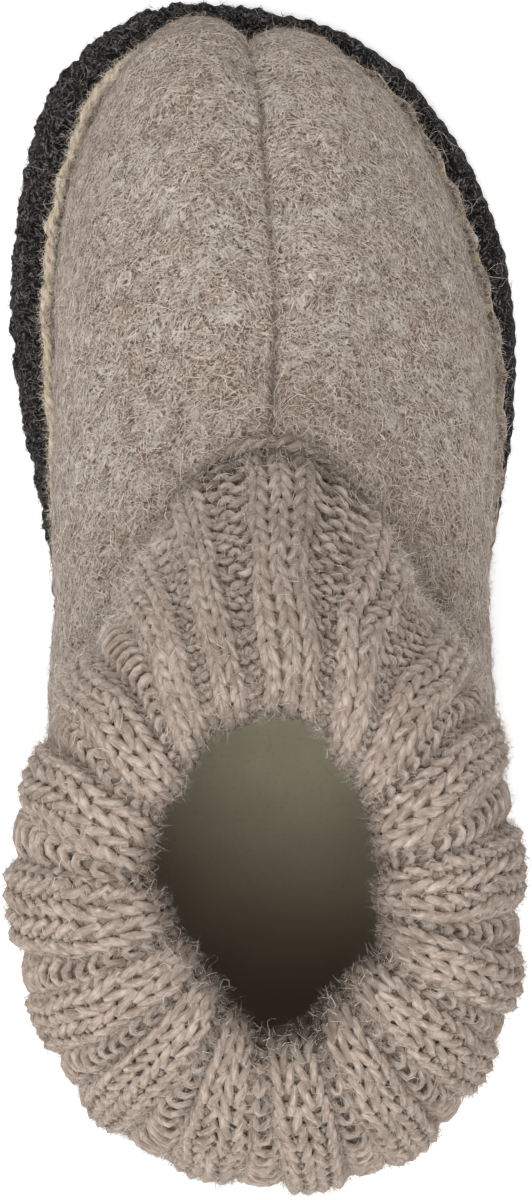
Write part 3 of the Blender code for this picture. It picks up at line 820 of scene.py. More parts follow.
# %% The cuff's wall
CUFF_COLUMNS = "place swell_out swell_up crown_out crown_up".split()
CUFF_STATIONS = np.array([
    (0.0, -2.5, 8.0, 14.0, 0.0),
    (0.125, 2.4, 9.5, 14.3, 0.5),
    (0.19, 5.7, 10.5, 15.8, 0.8),
    (0.25, 10.9, 11.5, 17.5, 1.0),
    (0.375, 6.0, 11.5, 17.6, 1.0),
    (0.44, 3.4, 11.5, 17.2, 1.0),
    (0.5, 4.8, 11.5, 19.0, 1.0),
    (0.625, 7.3, 11.5, 18.2, 1.0),
    (0.75, 8.2, 11.5, 16.6, 1.0),
    (0.81, 4.2, 10.5, 15.2, 0.8),
    (0.875, 1.9, 9.5, 14.2, 0.5),
])
CUFF_WALL, RIM_HEIGHT, OPENING = 5.6, 85.0, (0.5, -35.3, 13.9, 20.8)
OPENING_SHIFT = np.array([
    (0, -1.1), (15, -1.5), (30, -0.2), (45, -0.6), (60, 0.6), (75, 0.8), (90, 2.1), (107, 0.4),
    (120, -0.5), (135, -1.9), (152, -2.1), (190, 0.5), (208, -0.6), (228, 1.4), (240, 2.0), (250, 0.9),
    (270, 0.6), (285, -0.2), (300, -0.4), (318, -1.2), (330, -2.1), (345, -0.5),
])
ROLL_IN, ROLL_DOWN = 4.4, 6.5
WALL_STEPS, ROLL_STEPS, DOWN_STEPS = 60, 10, np.array([1.5, 3.0, 4.5, 6.0])
ROWS, ROWS_OVER = 19, 2
PLACES, LOOP_CUTS = 544, 720


def along_loop(loop, place):
    """Points at shares of the way round a finely cut loop, measured along it."""
    closed = np.vstack([loop, loop[:1]])
    length = np.append(0.0, np.cumsum(np.linalg.norm(np.diff(closed[:, :3], axis=0), axis=1)))
    return np.stack([np.interp(place * length[-1], length, column) for column in closed.T], axis=1)


def cuff_wall(place):
    """Sections of the smooth cuff: up the outside, over the rim and down the inside."""
    fine = np.arange(LOOP_CUTS) / LOOP_CUTS
    strip = felt_arch(fine, np.array([0.96, 0.98, 1.0]))
    loop = along_loop(np.hstack([strip[:, 2], unit(strip[:, 2] - strip[:, 1])]), place)
    base = loop[:, :3] + unit(loop[:, 3:]) * JOINT_GAP
    angle = fine * 2 * np.pi
    wave = np.stack([-np.sin(angle), np.cos(angle)], axis=1)
    hole = np.array(OPENING[:2]) + np.array(OPENING[2:]) * np.sign(wave) * np.abs(wave) ** 0.93
    level = along_loop(np.column_stack([hole, 0 * fine]), place)[:, :2]
    hole = np.column_stack([level, np.full(len(place), RIM_HEIGHT)])
    up = np.array([0.0, 0.0, 1.0])
    out = unit((base - hole) * np.array([1.0, 1.0, 0.0]))
    col = {n: closed_spline(CUFF_STATIONS[:, 0], CUFF_STATIONS[:, i], 1.0, place)[:, None]
           for i, n in enumerate(CUFF_COLUMNS)}
    bearing = np.degrees(np.arctan2(OPENING[0] - hole[:, 0], hole[:, 1] - OPENING[1]))
    shift = closed_spline(*OPENING_SHIFT.T, 360.0, bearing) + 1.2 * soft_noise(hole, 5.2, 29)
    hole = hole + out * shift[:, None]
    rim = hole + out * ROLL_IN
    leave = base + out * col["swell_out"] + up * col["swell_up"]
    arrive = rim + out * col["crown_out"] + up * col["crown_up"]
    corners = (p[:, None, :] for p in (base, leave, arrive, rim))
    outside = bezier(*corners, np.linspace(0, 1, WALL_STEPS)[None, :, None])
    turn = np.linspace(0, np.pi / 2, ROLL_STEPS + 1)[None, 1:, None]
    middle = (rim - up * ROLL_DOWN)[:, None, :]
    over = middle + up * ROLL_DOWN * np.cos(turn) - out[:, None, :] * ROLL_IN * np.sin(turn)
    down = over[:, -1:] - up * DOWN_STEPS[None, :, None]
    inside = (outside - grid_normals(outside) * CUFF_WALL)[:, 42:5:-3]
    return np.concatenate([outside, over, down, inside], axis=1)


place = np.arange(PLACES) / PLACES
wall = cuff_wall(place)
steps = np.linalg.norm(np.diff(wall, axis=1), axis=2)
length = np.concatenate([np.zeros((PLACES, 1)), np.cumsum(steps, axis=1)], axis=1)
to_rim = length[:, WALL_STEPS + ROLL_STEPS - 1]
print(f"from collar seam to rim: {to_rim.min():.1f} to {to_rim.max():.1f} mm")

# %% [markdown]
# Cutting every section into the same number of rows gives a table of points, and with it a table
# of normals. After that, any stitch place and row can be looked up by blending the four nearest
# points of the table.

# %% Rows on the cuff
TABLE_STEP = 8
rows = np.arange((ROWS + ROWS_OVER) * TABLE_STEP + 1) / TABLE_STEP
wanted = rows[None, :] / ROWS * to_rim[:, None]
below = np.clip((length[:, None, :] <= wanted[..., None]).sum(axis=2) - 1, 0, wall.shape[1] - 2)
line = np.arange(PLACES)[:, None]
part_way = (wanted - length[line, below]) / np.maximum(length[line, below + 1] - length[line, below], 1e-9)
knit_table = wall[line, below] + (wall[line, below + 1] - wall[line, below]) * part_way[..., None]
normal_table = grid_normals(knit_table)


def on_cuff(table, place, row):
    """The table at any place round the cuff and any row, blended from its four nearest points."""
    x, y = np.mod(place, 1.0) * PLACES, np.clip(row * TABLE_STEP, 0, len(rows) - 1.001)
    x0, y0 = np.floor(x).astype(int) % PLACES, np.floor(y).astype(int)
    x1, y1 = (x0 + 1) % PLACES, y0 + 1
    fx, fy = (x - np.floor(x))[..., None], (y - np.floor(y))[..., None]
    low = table[x0, y0] * (1 - fx) + table[x1, y0] * fx
    high = table[x0, y1] * (1 - fx) + table[x1, y1] * fx
    return low * (1 - fy) + high * fy


print("knit table:", knit_table.shape)

# %% [markdown]
# ## The knit
# In plain knitting each stitch is a loop pulled through the one below. Its two legs stand in front
# and make a V, and its head and feet lie behind. A purl stitch is the same loop seen from the back,
# with the heads in front. Two knit and two purl stitches in turn make the rib, and the knit ones
# spring forward. The rib at the front has three knit stitches. Hand-made knitting is never even, so
# short tables describe each valley between ribs: its direction at the rim and at the base, in
# degrees from the front by the big-toe side, the share of the way from rib to rib that its two
# purl stitches take, and how far those are gathered together, from 0 to 1.


# %% Ribs and their places
RIBS, FRONT_KNIT = 17, 3
STITCHES = RIBS * 4 + FRONT_KNIT - 2
VALLEYS_AT_RIM = np.array([
    7, 30, 54, 75, 94, 115, 135, 156, 178, 202, 221, 240, 254, 270, 291, 310, 333.0,
])
VALLEYS_AT_BASE = np.array([
    13.5, 33, 55, 74, 91, 110, 129, 150, 178, 202, 223, 240.5, 256, 274, 292, 311, 341.5,
])
PURL_SHARE = np.array([
    0.34, 0.38, 0.37, 0.33, 0.35, 0.35, 0.34, 0.37, 0.38, 0.34, 0.32, 0.30, 0.30, 0.35, 0.34, 0.28, 0.27,
])
PURL_GATHER = np.array([
    0.0, 0.0, 0.5, 0.8, 0.8, 0.8, 0.8, 0.7, 0.7, 0.7, 0.8, 0.8, 0.8, 0.8, 0.6, 0.0, 0.0,
])
# Degrees round the opening, and the share of the way round its oval at each of them.
around = np.radians(np.linspace(0, 360, LOOP_CUTS + 1))
rim_step = np.hypot(OPENING[2] * np.cos(around), OPENING[3] * np.sin(around))
rim_degrees = np.degrees(around)
rim_place = np.append(0.0, np.cumsum((rim_step[1:] + rim_step[:-1]) / 2))
rim_place = rim_place / rim_place[-1]


def rib_phase(stitch):
    """Stitch count to ribs: straight lines, four stitches to each rib, but five to the one at the
    front, which has three knit ones."""
    half = FRONT_KNIT / 2
    counts = [-half - 4, -half, half, STITCHES - half, STITCHES + half]
    return np.interp(stitch, counts, [-1.25, -0.25, 0.25, RIBS - 0.25, RIBS + 0.25])


def near_front(stitch):
    """One at the front of the cuff, falling to nothing about four ribs away: a Gaussian of the
    stitch count."""
    return np.exp(-((((stitch + STITCHES / 2) % STITCHES - STITCHES / 2) / 9.0) ** 2))


def valley_of(stitch):
    """The number of the valley nearest to a stitch count."""
    return np.floor(rib_phase(stitch)).astype(int) % RIBS


def rib_place(stitch, row):
    """Stitch count to a share of a turn. Valleys between ribs go where the tables put them, and
    each purl pair takes its own share of the way from rib to rib, less of it towards the rim. The
    strand between its two stitches is gathered wide, by a cube, and their heads go under the ribs."""
    rib = rib_phase(stitch)
    middle = np.round(rib)
    off = rib - middle
    purl = PURL_SHARE[valley_of(stitch)] * (1.42 - 0.85 * soft_step(row, 6, ROWS))
    gather = PURL_GATHER[valley_of(stitch)]
    ahead = np.abs(off)
    knit = 1 - purl
    into = np.clip(ahead * 4 - 1, 0, 1)
    into = (1 - gather) * into + gather * into**3
    spread = np.where(ahead < 0.25, ahead * knit * 2, knit / 2 + into * purl / 2)
    at = middle + np.sign(off) * spread - 0.5
    order = np.arange(RIBS, dtype=float)
    rim, base = (360 / RIBS * at + closed_spline(order, table - 360 / RIBS * order, RIBS, at)
                 for table in (VALLEYS_AT_RIM, VALLEYS_AT_BASE))
    degrees = base + (rim - base) * soft_step(row, 5, ROWS)
    return np.interp(np.mod(degrees, 360), rim_degrees, rim_place)


print(f"{STITCHES} stitches in {RIBS} ribs")

# %% [markdown]
# A rib stands out most half way up the cuff and lies nearly flat at the rim, where the knit is
# stretched over the roll. Beside the instep the lowest rows have felted into the upper, so their
# loops sink to one height and lose their shape. Round the heel they are less matted, and at the
# front, under the cord of the seam, they aren't matted at all.


# %% How far the knit stands out
def rib_wave(stitch):
    """Plus one in the middle of a rib's knit stitches, minus one between its purl stitches: a cosine
    made squarer by a hyperbolic tangent."""
    return np.tanh(1.7 * np.cos(2 * np.pi * rib_phase(stitch))) / math.tanh(1.7)


def rib_lift(stitch, row):
    """How far the middle of the knit stands off the smooth wall: the rib's wave, less a depth that
    is greatest half way up, so that the yarn's outside lies on the wall."""
    height = 0.35 + 0.3 * soft_step(row, 0, 3) + 0.35 * soft_step(row, 4, 11)
    height = height - 0.65 * soft_step(row, 13, ROWS)
    half_way_up = soft_step(row, 1, 6) * (1 - soft_step(row, 10, 17))
    depth = 1.0 + 1.1 * half_way_up + 0.5 * (1 - soft_step(row, 0.0, 2.0))
    return height * rib_wave(stitch) - depth


def knit_or_purl(turn):
    """Plus one in the knit stitches of a rib, minus one in its purl ones: a clipped cosine."""
    return np.clip(3.0 * np.cos(2 * np.pi * rib_phase(turn / (2 * np.pi) - FRONT_KNIT / 2)), -1, 1)


def matting(points, row):
    """How far the knit is felted into the upper, from 0 to 1: most in the first rows beside the
    instep, less round the heel, and not at all under the cord at the front."""
    beside = 1 - soft_step(points[..., 1], 4.0, 14.0)
    waist = np.exp(-(((points[..., 1] + 6.0) / 17.0) ** 2))
    return beside * (0.4 + 0.6 * waist) * (1 - soft_step(row, 0.8, 3.2 + 2.2 * waist))


standing = rib_lift(0.0, ROWS / 2) - rib_lift(FRONT_KNIT / 2 + 1, ROWS / 2)
print(f"a rib half way up stands out by {standing:.1f} mm")

# %% [markdown]
# One yarn makes a whole row, so a row is a tube carried along a wavy closed path. The path goes
# across, up and in or out by sines of one angle, which makes one turn for each stitch. The three
# columns of knit stitches at the front are pulled narrow, so that dark gaps open between them.
# Noise moves every loop by a fraction of a stitch.


# %% The path of the yarn
# Loops in stitches and rows, and their depth and the sinking of gathered heads in millimetres.
LOOP_BULGE, KNIT_BULGE, FRONT_PULL = 0.25, 0.035, 0.085
LOOP_MIDDLE, LOOP_RISE, LOOP_DEPTH, HEAD_SINK = 0.6, 0.78, 0.58, 1.7
SAMPLES = 12
# Radius and row height of the plain tube on which the noise is read.
NOISE_RADIUS, NOISE_ROW = 9.7, 0.9


def yarn_path(course, turn):
    """A row of loops: across by turn plus a sine of twice the turn, up by minus a cosine, and in or
    out by a cosine of twice the turn, which changes sign between knit and purl stitches. The heads
    of gathered purl stitches sink behind the ribs."""
    count = np.floor(turn / (2 * np.pi))
    swing = turn - count * 2 * np.pi
    face = knit_or_purl(turn)
    bulge = LOOP_BULGE + KNIT_BULGE * np.clip(face, 0, 1)
    stitch = turn / (2 * np.pi) + bulge * np.sin(2 * swing) - FRONT_KNIT / 2
    pull = FRONT_PULL * near_front(stitch) * np.clip(face, 0, 1)
    stitch = stitch + pull * np.sin(2 * np.pi * (stitch + FRONT_KNIT / 2))
    gather = PURL_GATHER[valley_of(stitch)] * np.clip(-face, 0, 1)
    row = course + LOOP_MIDDLE - LOOP_RISE * np.cos(swing) * np.abs(np.cos(swing)) ** (2 * gather)
    angle = stitch / STITCHES * 2 * np.pi
    loose = np.stack([NOISE_RADIUS * np.cos(angle), NOISE_RADIUS * np.sin(angle), row * NOISE_ROW], axis=-1)
    row = row + 0.24 * soft_noise(loose, 1.3, 31)
    drift = 0.3 * soft_noise(loose, 5.0, 32) + 0.2 * soft_noise(loose, 1.4, 33)
    at = rib_place(stitch + drift, row)
    lift = rib_lift(stitch, row) - face * (LOOP_DEPTH - 0.16 * face) * np.cos(2 * swing)
    lift = lift + 0.28 * soft_noise(loose, 1.0, 34)
    lift = lift - HEAD_SINK * gather * (1 - np.cos(swing)) / 2
    normal, ground = unit(on_cuff(normal_table, at, row)), on_cuff(knit_table, at, row)
    lift = lift + 0.6 * matting(ground, row) * (rib_lift(stitch, row) + 0.15 - lift)
    return ground + normal * lift[..., None], normal


courses = np.arange(ROWS + ROWS_OVER - 1)[:, None]
turn = np.arange(STITCHES * SAMPLES)[None, :] / SAMPLES * 2 * np.pi
turn = turn - 0.3 * np.sin(2 * turn)
path, lie = yarn_path(courses + 0.0 * turn, turn + 0.0 * courses)
print("yarn path:", path.shape)

# %% [markdown]
# Real yarn gives way: it is a little fuller in the legs than in the bends, it fills out where the
# stitches are wide, and it is thinner where the knit is stretched, which is at the front's purl
# stitches and round the heel. A tone on each point paints shade: it darkens the roll at the rim,
# most round the heel and in one patch at the back, the lowest rows under the cord at the front, the
# hollow at the front, the heads behind the ribs and the cuff's little-toe side. It also puts one
# small dark spot on the front of the cuff. Below zero it mats the yarn beside the instep.


# %% Fullness and shade of the yarn
YARN, USUAL_WIDTH = 0.66, 2.6


def spot(points, x, y, across, along):
    """One at a place seen from above, falling away on all sides: a Gaussian of x and y."""
    return np.exp(-(((points[..., 0] - x) / across) ** 2) - ((points[..., 1] - y) / along) ** 2)


swing = np.mod(turn, 2 * np.pi)
stitch_width = np.linalg.norm(np.roll(path, -SAMPLES, axis=1) - path, axis=2)
fullness = np.clip((stitch_width / USUAL_WIDTH) ** 0.5, 0.88, 1.12)
behind = soft_step(-path[..., 1], 18.0, 46.0)
purl = np.clip(-knit_or_purl(turn), 0, 1)
thin = 1 - 0.2 * near_front(turn / (2 * np.pi)) * purl - 0.14 * soft_step(-path[..., 1], 46.0, 64.0)
legs = 0.97 - 0.11 * knit_or_purl(turn) * np.cos(2 * swing)
radius = YARN * thin * fullness * legs * (1 + 0.17 * soft_noise(path, 2.0, 41))
at_front = soft_step(path[..., 1], 4.0, 15.0)
# Painted shade on the roll at the rim, deeper round the heel and in one patch at the back of the rim.
rim_shade = 0.5 + 0.38 * behind + 0.9 * spot(path, 8.0, -57.5, 5.5, 5.5)
tone = rim_shade * soft_step(courses, ROWS - 3.6 - 1.4 * behind, ROWS + 0.6)
# Painted shade on the lowest rows under the cord at the front.
tone = tone + 0.6 * at_front * (1 - soft_step(courses, 0, 2.2))
# Painted shade in the hollow at the front.
tone = tone + 0.12 * soft_step(path[..., 1], -24.0, -6.0) * (1 - soft_step(np.abs(path[..., 0]), 6.0, 15.0))
tone = tone - 0.9 * matting(path, courses + LOOP_MIDDLE)
# Painted shade on the heads of gathered purl stitches behind the ribs, deeper round the heel.
gathered = PURL_GATHER[valley_of(turn / (2 * np.pi) - FRONT_KNIT / 2)] * purl
tone = tone + (0.28 + 0.22 * behind) * gathered * (1 - np.cos(swing)) / 2
# Painted shade on the cuff's little-toe side.
tone = tone + 0.1 * soft_step(path[..., 0], 24.0, 34.0)
# One small dark spot on the front of the cuff.
tone = tone + 0.4 * spot(path, 5.4, 8.8, 1.1, 1.6)
print(f"yarn radius: {radius.min():.2f} to {radius.max():.2f} mm")

# %% [markdown]
# The tubes are laid in two pieces, so that neither grows too heavy: the rows of the wall, and the
# rows that roll over the rim.


# %% Make the knit
RIM_COURSE = ROWS - 4


def lay_courses(name, part):
    """Some of the rows of yarn, as one piece."""
    return lay_yarn(name, path[part], lie[part], radius[part], yarn_finish, tone[part])


knit, *low = lay_courses("ribbed_knit", slice(None, RIM_COURSE))
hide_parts("ribbed_cuff")
_, *high = lay_courses("rolled_rim", slice(RIM_COURSE, None))
knit_yarn = (*(np.concatenate(both) for both in zip(low, high)), lie)

# %% [markdown]
# ## The backing of the cuff
# Yarn leaves small gaps, and through them a second layer of the folded knit would show. A plain
# closed wall just behind the yarn stands for that layer and keeps light from leaking through. It
# follows the ribs, then goes over the rim and down the inside. Round the heel it lies deeper, so
# the gaps there look darker.

# %% Make the backing
BEHIND_FRONT, BEHIND_HEEL, FOOT_WIDTH = 0.35, 0.9, 3.4
stitch = np.arange(STITCHES * 4)[:, None] / 4
row = np.arange(0, ROWS + ROWS_OVER, 0.5)[None, :]
at = rib_place(stitch + 0 * row, row + 0 * stitch)
outer_skin = on_cuff(knit_table, at, row + 0 * stitch)
behind = BEHIND_FRONT + (BEHIND_HEEL - BEHIND_FRONT) * soft_step(-outer_skin[..., 1], 44.0, 64.0)
normal = unit(on_cuff(normal_table, at, row + 0 * stitch))
outer_skin = outer_skin + normal * (rib_lift(stitch, row) - behind)[..., None]
inside = cuff_wall(at[:, -1])
foot = inside[:, :1] - grid_normals(inside)[:, :1] * FOOT_WIDTH
down_inside = inside[:, WALL_STEPS + ROLL_STEPS + len(DOWN_STEPS):]
sections = np.concatenate([outer_skin, down_inside, foot], axis=1)
# The backing's finish is a little darker than the yarn, as painted shade in the gaps.
lay_mesh("cuff_backing", sections, wrap_quads(*sections.shape[:2]), backing_finish)

# %% [markdown]
# ## The seam between felt and knit
# Where the cuff is sewn on, a row of slanting yarn covers the joint. It is the same cord as the
# edging, thicker and laid along the collar, fullest at the front.

# %% Make the collar seam
SEAM_POINTS, SEAM_TURN = 500, 4.8
place = np.arange(SEAM_POINTS) / SEAM_POINTS
strip = felt_arch(place, np.array([0.96, 0.98, 1.0]))
normal = grid_normals(strip)[:, 2]
at_front = np.exp(-((((place + 0.5) % 1.0 - 0.5) / 0.072) ** 2))
line = strip[:, 2] + unit(strip[:, 2] - strip[:, 1]) * 0.4 + normal * (1.7 * at_front - 1.0)[:, None]
wild = 1 + 0.35 * soft_noise(line, 1.8, 45)
path, lie = twist(line, normal, (0.2 + 0.42 * at_front) * wild, SEAM_TURN)
cord = lay_yarn("collar_seam", path, lie, ((0.3 + 0.42 * at_front) * wild)[None], yarn_finish, 0.4)
collar_yarn = (*cord[1:], lie)

# %% [markdown]
# ## Fuzz and stray hairs
# What makes wool look like wool is its fuzz: thousands of fine curved fibres, most lying on the
# surface and some standing off it. Each hair here is a strip of quads, two for a short hair and up
# to sixteen for a long curled one. It starts at a random point, wanders over the surface on a
# bending heading, and rises and falls on a sine. A strip seen on edge vanishes, so each one is
# turned a little at random.


# %% Hairs as strips
# How far above the surface a hair starts, in millimetres, so that its root lies clear of it.
HAIR_CLEARANCE = 0.03


def scatter(grid, count, seed, weight=1.0):
    """Random points and normals on a grid, as many on each cell as its area calls for."""
    rng = np.random.default_rng(seed)
    corner, right, up = grid[:-1, :-1], grid[1:, :-1], grid[:-1, 1:]
    cross = np.cross(right - corner, up - corner)
    area = (np.linalg.norm(cross, axis=2) * weight).ravel()
    pick = rng.choice(area.size, count, p=area / area.sum())
    u, v = rng.random((2, count, 1))
    flat = [a.reshape(-1, 3)[pick] for a in (corner, right, up, cross)]
    return flat[0] + (flat[1] - flat[0]) * u + (flat[2] - flat[0]) * v, unit(flat[3])


def hairs(root, normal, length, width, lift, stand, bend, seed, steps=3, heading=None):
    """Strips: a heading that turns and waves by bend along the hair, a sine arch of height lift over
    the surface, and a rise of stand by the power of one and a half for hairs whose end is free."""
    rng = np.random.default_rng(seed)
    count = len(root)
    flat = np.where(np.abs(normal[:, 2:]) < 0.85, np.array([[0.0, 0.0, 1.0]]), np.array([[0.0, 1.0, 0.0]]))
    right = unit(np.cross(flat, normal))
    fore = np.cross(normal, right)
    if heading is None:
        start = rng.uniform(0, 2 * np.pi, count)
    else:
        start = np.arctan2(np.sum(heading * fore, axis=1), np.sum(heading * right, axis=1))
        start = start + rng.normal(0, 0.45, count)
    sizes = (length, width, lift, stand, bend)
    length, width, lift, stand, bend = (np.broadcast_to(size, count)[:, None] for size in sizes)
    far = np.linspace(0, 1, steps + 1)[None, :]
    halfway = (far[:, :-1] + far[:, 1:]) / 2
    turning = (2 * halfway - 1) * rng.choice([-1, 1], (count, 1))
    waves = halfway * rng.uniform(0.6, 1.6, (count, 1)) + rng.random((count, 1))
    angle = start[:, None] + bend * (turning + 0.6 * np.sin(2 * np.pi * waves))
    x = np.concatenate([np.zeros((count, 1)), np.cumsum(np.cos(angle), axis=1)], axis=1) * length / steps
    y = np.concatenate([np.zeros((count, 1)), np.cumsum(np.sin(angle), axis=1)], axis=1) * length / steps
    z = HAIR_CLEARANCE + lift * np.sin(np.pi * far) + stand * far**1.5
    line = root[:, None] + x[..., None] * right[:, None] + y[..., None] * fore[:, None]
    line = line + z[..., None] * normal[:, None]
    ahead = unit(np.gradient(line, axis=1))
    facing = unit(normal + rng.normal(0, 0.5, (count, 3)))[:, None]
    across = unit(np.cross(facing, ahead)) * (width * (1 - 0.7 * far**3) / 2)[..., None]
    return np.stack([line - across, line + across], axis=2)


def draw(rng, count, *sizes):
    """For each size a random value for every hair, where it is a pair of limits, or else the size."""
    return [rng.uniform(*size, count) if isinstance(size, tuple) else size for size in sizes]


def strip_quads(count, steps):
    """Faces of the strips: each step joins one pair of points to the next pair."""
    base = np.arange(count)[:, None] * (steps + 1) * 2 + np.arange(steps)[None, :] * 2
    return np.stack([base, base + 2, base + 3, base + 1], axis=-1).reshape(-1, 4)[:, ::-1]


def lay_hairs(name, strips, finish, slot, seed, low=0.0, high=1.0):
    """One piece of many strips, each hair with its own tone."""
    count, points = strips.shape[0], strips.shape[1] * 2
    tone = np.repeat(np.random.default_rng(seed).uniform(low, high, count), points)
    return lay_mesh(name, strips, strip_quads(count, strips.shape[1] - 1), finish, tone=tone)


print("hair helpers ready")

# %% [markdown]
# The boiled wool carries most of its fibres flat on its face. A second, thinner set stands off it
# and gives the outline its soft edge. Few hairs grow in the groove, under the edging and on the
# parts of the face that look down. The sizes drawn for each set are the length and width of its
# hairs, the height of their arch, the rise of their free end and the bend of their heading.

# %% Fuzz on the upper
LYING, FREE, FIRST_RING = 23000, 14000, 3
rng = np.random.default_rng(51)
loop = np.concatenate([*lip[FIRST_RING:], face], axis=1)
loop = np.concatenate([loop, loop[:1]], axis=0)
on_lip = len(lip) - FIRST_RING
density = np.ones(np.array(loop.shape[:2]) - 1)
density[:, :on_lip] -= 0.8 * big_toe_side[:, None]
density[:, on_lip:] -= (1.2 * np.maximum(groove, 0))[:, :-1]
density[:, on_lip:] *= (0.3 + 0.7 * soft_step(grid_normals(face)[..., 2], -0.4, 0.2))[:, :-1]
root, normal = scatter(loop, LYING, 52, density)
sizes = draw(rng, LYING, (1.2, 4.2), (0.05, 0.1), (0.02, 0.2), 0.0, (0.3, 1.6))
fuzz = hairs(root, normal, *sizes, seed=53)
lay_hairs("upper_fuzz", fuzz, hair_finish, "upper", 54, 0.0, 0.75)
root, normal = scatter(loop, FREE, 55, density)
sizes = draw(rng, FREE, (0.8, 2.6), (0.03, 0.055), 0.1, (0.2, 1.3), (0.3, 1.5))
fuzz = hairs(root, normal, *sizes, seed=56, steps=2)
lay_hairs("upper_stray_fuzz", fuzz, hair_finish, "upper", 57, 0.2, 0.85)

# %% [markdown]
# The cuff's fuzz starts on the outer half of the yarn. One set follows the yarn, and a thinner one
# stands off it any way. The matted rows, the cord of the seam and the edging have fuzz of their own,
# and a few long hairs stray round the rim of the opening.


# %% Fuzz on the knit
YARN_HAIR_LIFT = 0.06


def yarn_hairs(name, yarn, finish, slot, count, steps, seed, length, width, stand, bend, tones,
               chosen=True, combed=True):
    """Hairs on the outer half of a yarn, where chosen, headed along it if combed and any way if not.
    Length, width, stand, bend and tones are pairs, the least and the greatest."""
    rng = np.random.default_rng(seed)
    tubes, facing, outward = yarn
    middle = tubes.mean(axis=2)
    ahead = unit(np.roll(middle, -1, axis=1) - middle)
    show = np.sum(facing * outward[:, :, None], axis=3) > 0.0
    show = show & np.broadcast_to(chosen, middle.shape[:2])[..., None]
    at = np.unravel_index(rng.choice(np.flatnonzero(show), count), show.shape)
    sizes = draw(rng, count, length, width, YARN_HAIR_LIFT, stand, bend)
    heading = ahead[at[0], at[1]] if combed else None
    strips = hairs(tubes[at], facing[at], *sizes, seed + 1, steps, heading)
    return lay_hairs(name, strips, finish, slot, seed + 2, *tones)


by_course = np.arange(len(knit_yarn[0]))[:, None]
matted = matting(knit_yarn[0].mean(axis=2), by_course + LOOP_MIDDLE)
on_knit = (knit_yarn, hair_finish, "ribbed_cuff")
yarn_hairs("knit_fuzz", *on_knit, count=19000, steps=2, seed=61, length=(1.0, 2.8), width=(0.045, 0.09),
           stand=(0.0, 0.35), bend=(0.3, 1.4), tones=(0.2, 0.7))
yarn_hairs("knit_stray_fuzz", *on_knit, count=34000, steps=2, seed=65, length=(0.8, 2.6), width=(0.03, 0.055),
           stand=(0.2, 1.7), bend=(0.3, 1.6), tones=(0.1, 0.7), chosen=by_course < ROWS - 1, combed=False)
yarn_hairs("collar_fuzz", *on_knit, count=12000, steps=2, seed=81, length=(1.2, 3.2), width=(0.045, 0.085),
           stand=(0.05, 0.7), bend=(0.3, 1.8), tones=(0.2, 1.0), chosen=matted > 0.2, combed=False)
yarn_hairs("cord_fuzz", collar_yarn, hair_finish, "upper", count=2600, steps=2, seed=85, length=(1.0, 3.0),
           width=(0.04, 0.07), stand=(0.1, 0.7), bend=(0.3, 1.6), tones=(0.0, 0.8))
yarn_hairs("rim_stray_hairs", *on_knit, count=130, steps=9, seed=89, length=(4.0, 8.0), width=(0.025, 0.04),
           stand=(0.3, 1.6), bend=(1.2, 3.0), tones=(0.2, 0.9), chosen=by_course >= ROWS - 3)
yarn_hairs("rim_fuzz", *on_knit, count=1500, steps=4, seed=69, length=(0.8, 2.4), width=(0.02, 0.035),
           stand=(0.1, 0.8), bend=(0.8, 2.2), tones=(0.0, 0.5), chosen=by_course >= ROWS - 2)
yarn_hairs("edging_fuzz", edging_yarn, pale_hair_finish, "upper", count=6500, steps=2, seed=97,
           length=(0.6, 2.0), width=(0.03, 0.05), stand=(0.1, 0.5), bend=(0.3, 1.6), tones=(0.0, 1.0),
           chosen=(pale > 0.4)[None], combed=False)

# %% [markdown]
# The sole's edge has short dark fuzz of its own, which stays clear of the floor. Longer pale hairs
# have come off the upper and lie across the black, and a few of them are long and curled.

# %% Hairs on the sole's edge
SOLE_HAIRS, STRAYS, CURLS, FLOOR_CLEARANCE = 8500, 170, 34, 0.05
sole_grid = np.concatenate([sole_rings, sole_rings[:, :1]], axis=1)[3:13]
sole_grid = np.moveaxis(sole_grid, 0, 1)
upper_edge = sole_grid[:, 6:]
rng = np.random.default_rng(71)
root, normal = scatter(sole_grid, SOLE_HAIRS, 72, 0.2 + soft_step(-sole_grid[:-1, :-1, 0], -25.0, 25.0))
sizes = draw(rng, SOLE_HAIRS, (0.5, 1.7), (0.04, 0.09), 0.08, (0.0, 0.25), (0.2, 1.6))
fuzz = hairs(root, normal, *sizes, seed=73, steps=2)
fuzz[..., 2] = np.maximum(fuzz[..., 2], FLOOR_CLEARANCE)
lay_hairs("sole_fuzz", fuzz, dark_hair_finish, "outsole", 74)
root, normal = scatter(upper_edge, STRAYS, 75)
length, *sizes = draw(rng, STRAYS, (1.0, 4.5), (0.018, 0.03), (0.1, 0.5), (0.0, 0.5), (0.2, 1.6))
fuzz = hairs(root, normal, length**1.1, *sizes, seed=76, steps=10)
lay_hairs("pale_stray_hairs", fuzz, hair_finish, "upper", 77, 0.3, 0.9)
root, normal = scatter(upper_edge, CURLS, 78)
sizes = draw(rng, CURLS, (4.0, 9.0), (0.03, 0.045), (0.2, 0.6), (0.1, 0.5), (0.8, 2.1))
fuzz = hairs(root, unit(normal + np.array([0, 0, 2.0])), *sizes, seed=79, steps=16)
lay_hairs("curled_hairs", fuzz, hair_finish, "upper", 80, 0.5, 1.0)

# %% [markdown]
# Along the lip the felt is teased out, and its short fibres reach over the black.

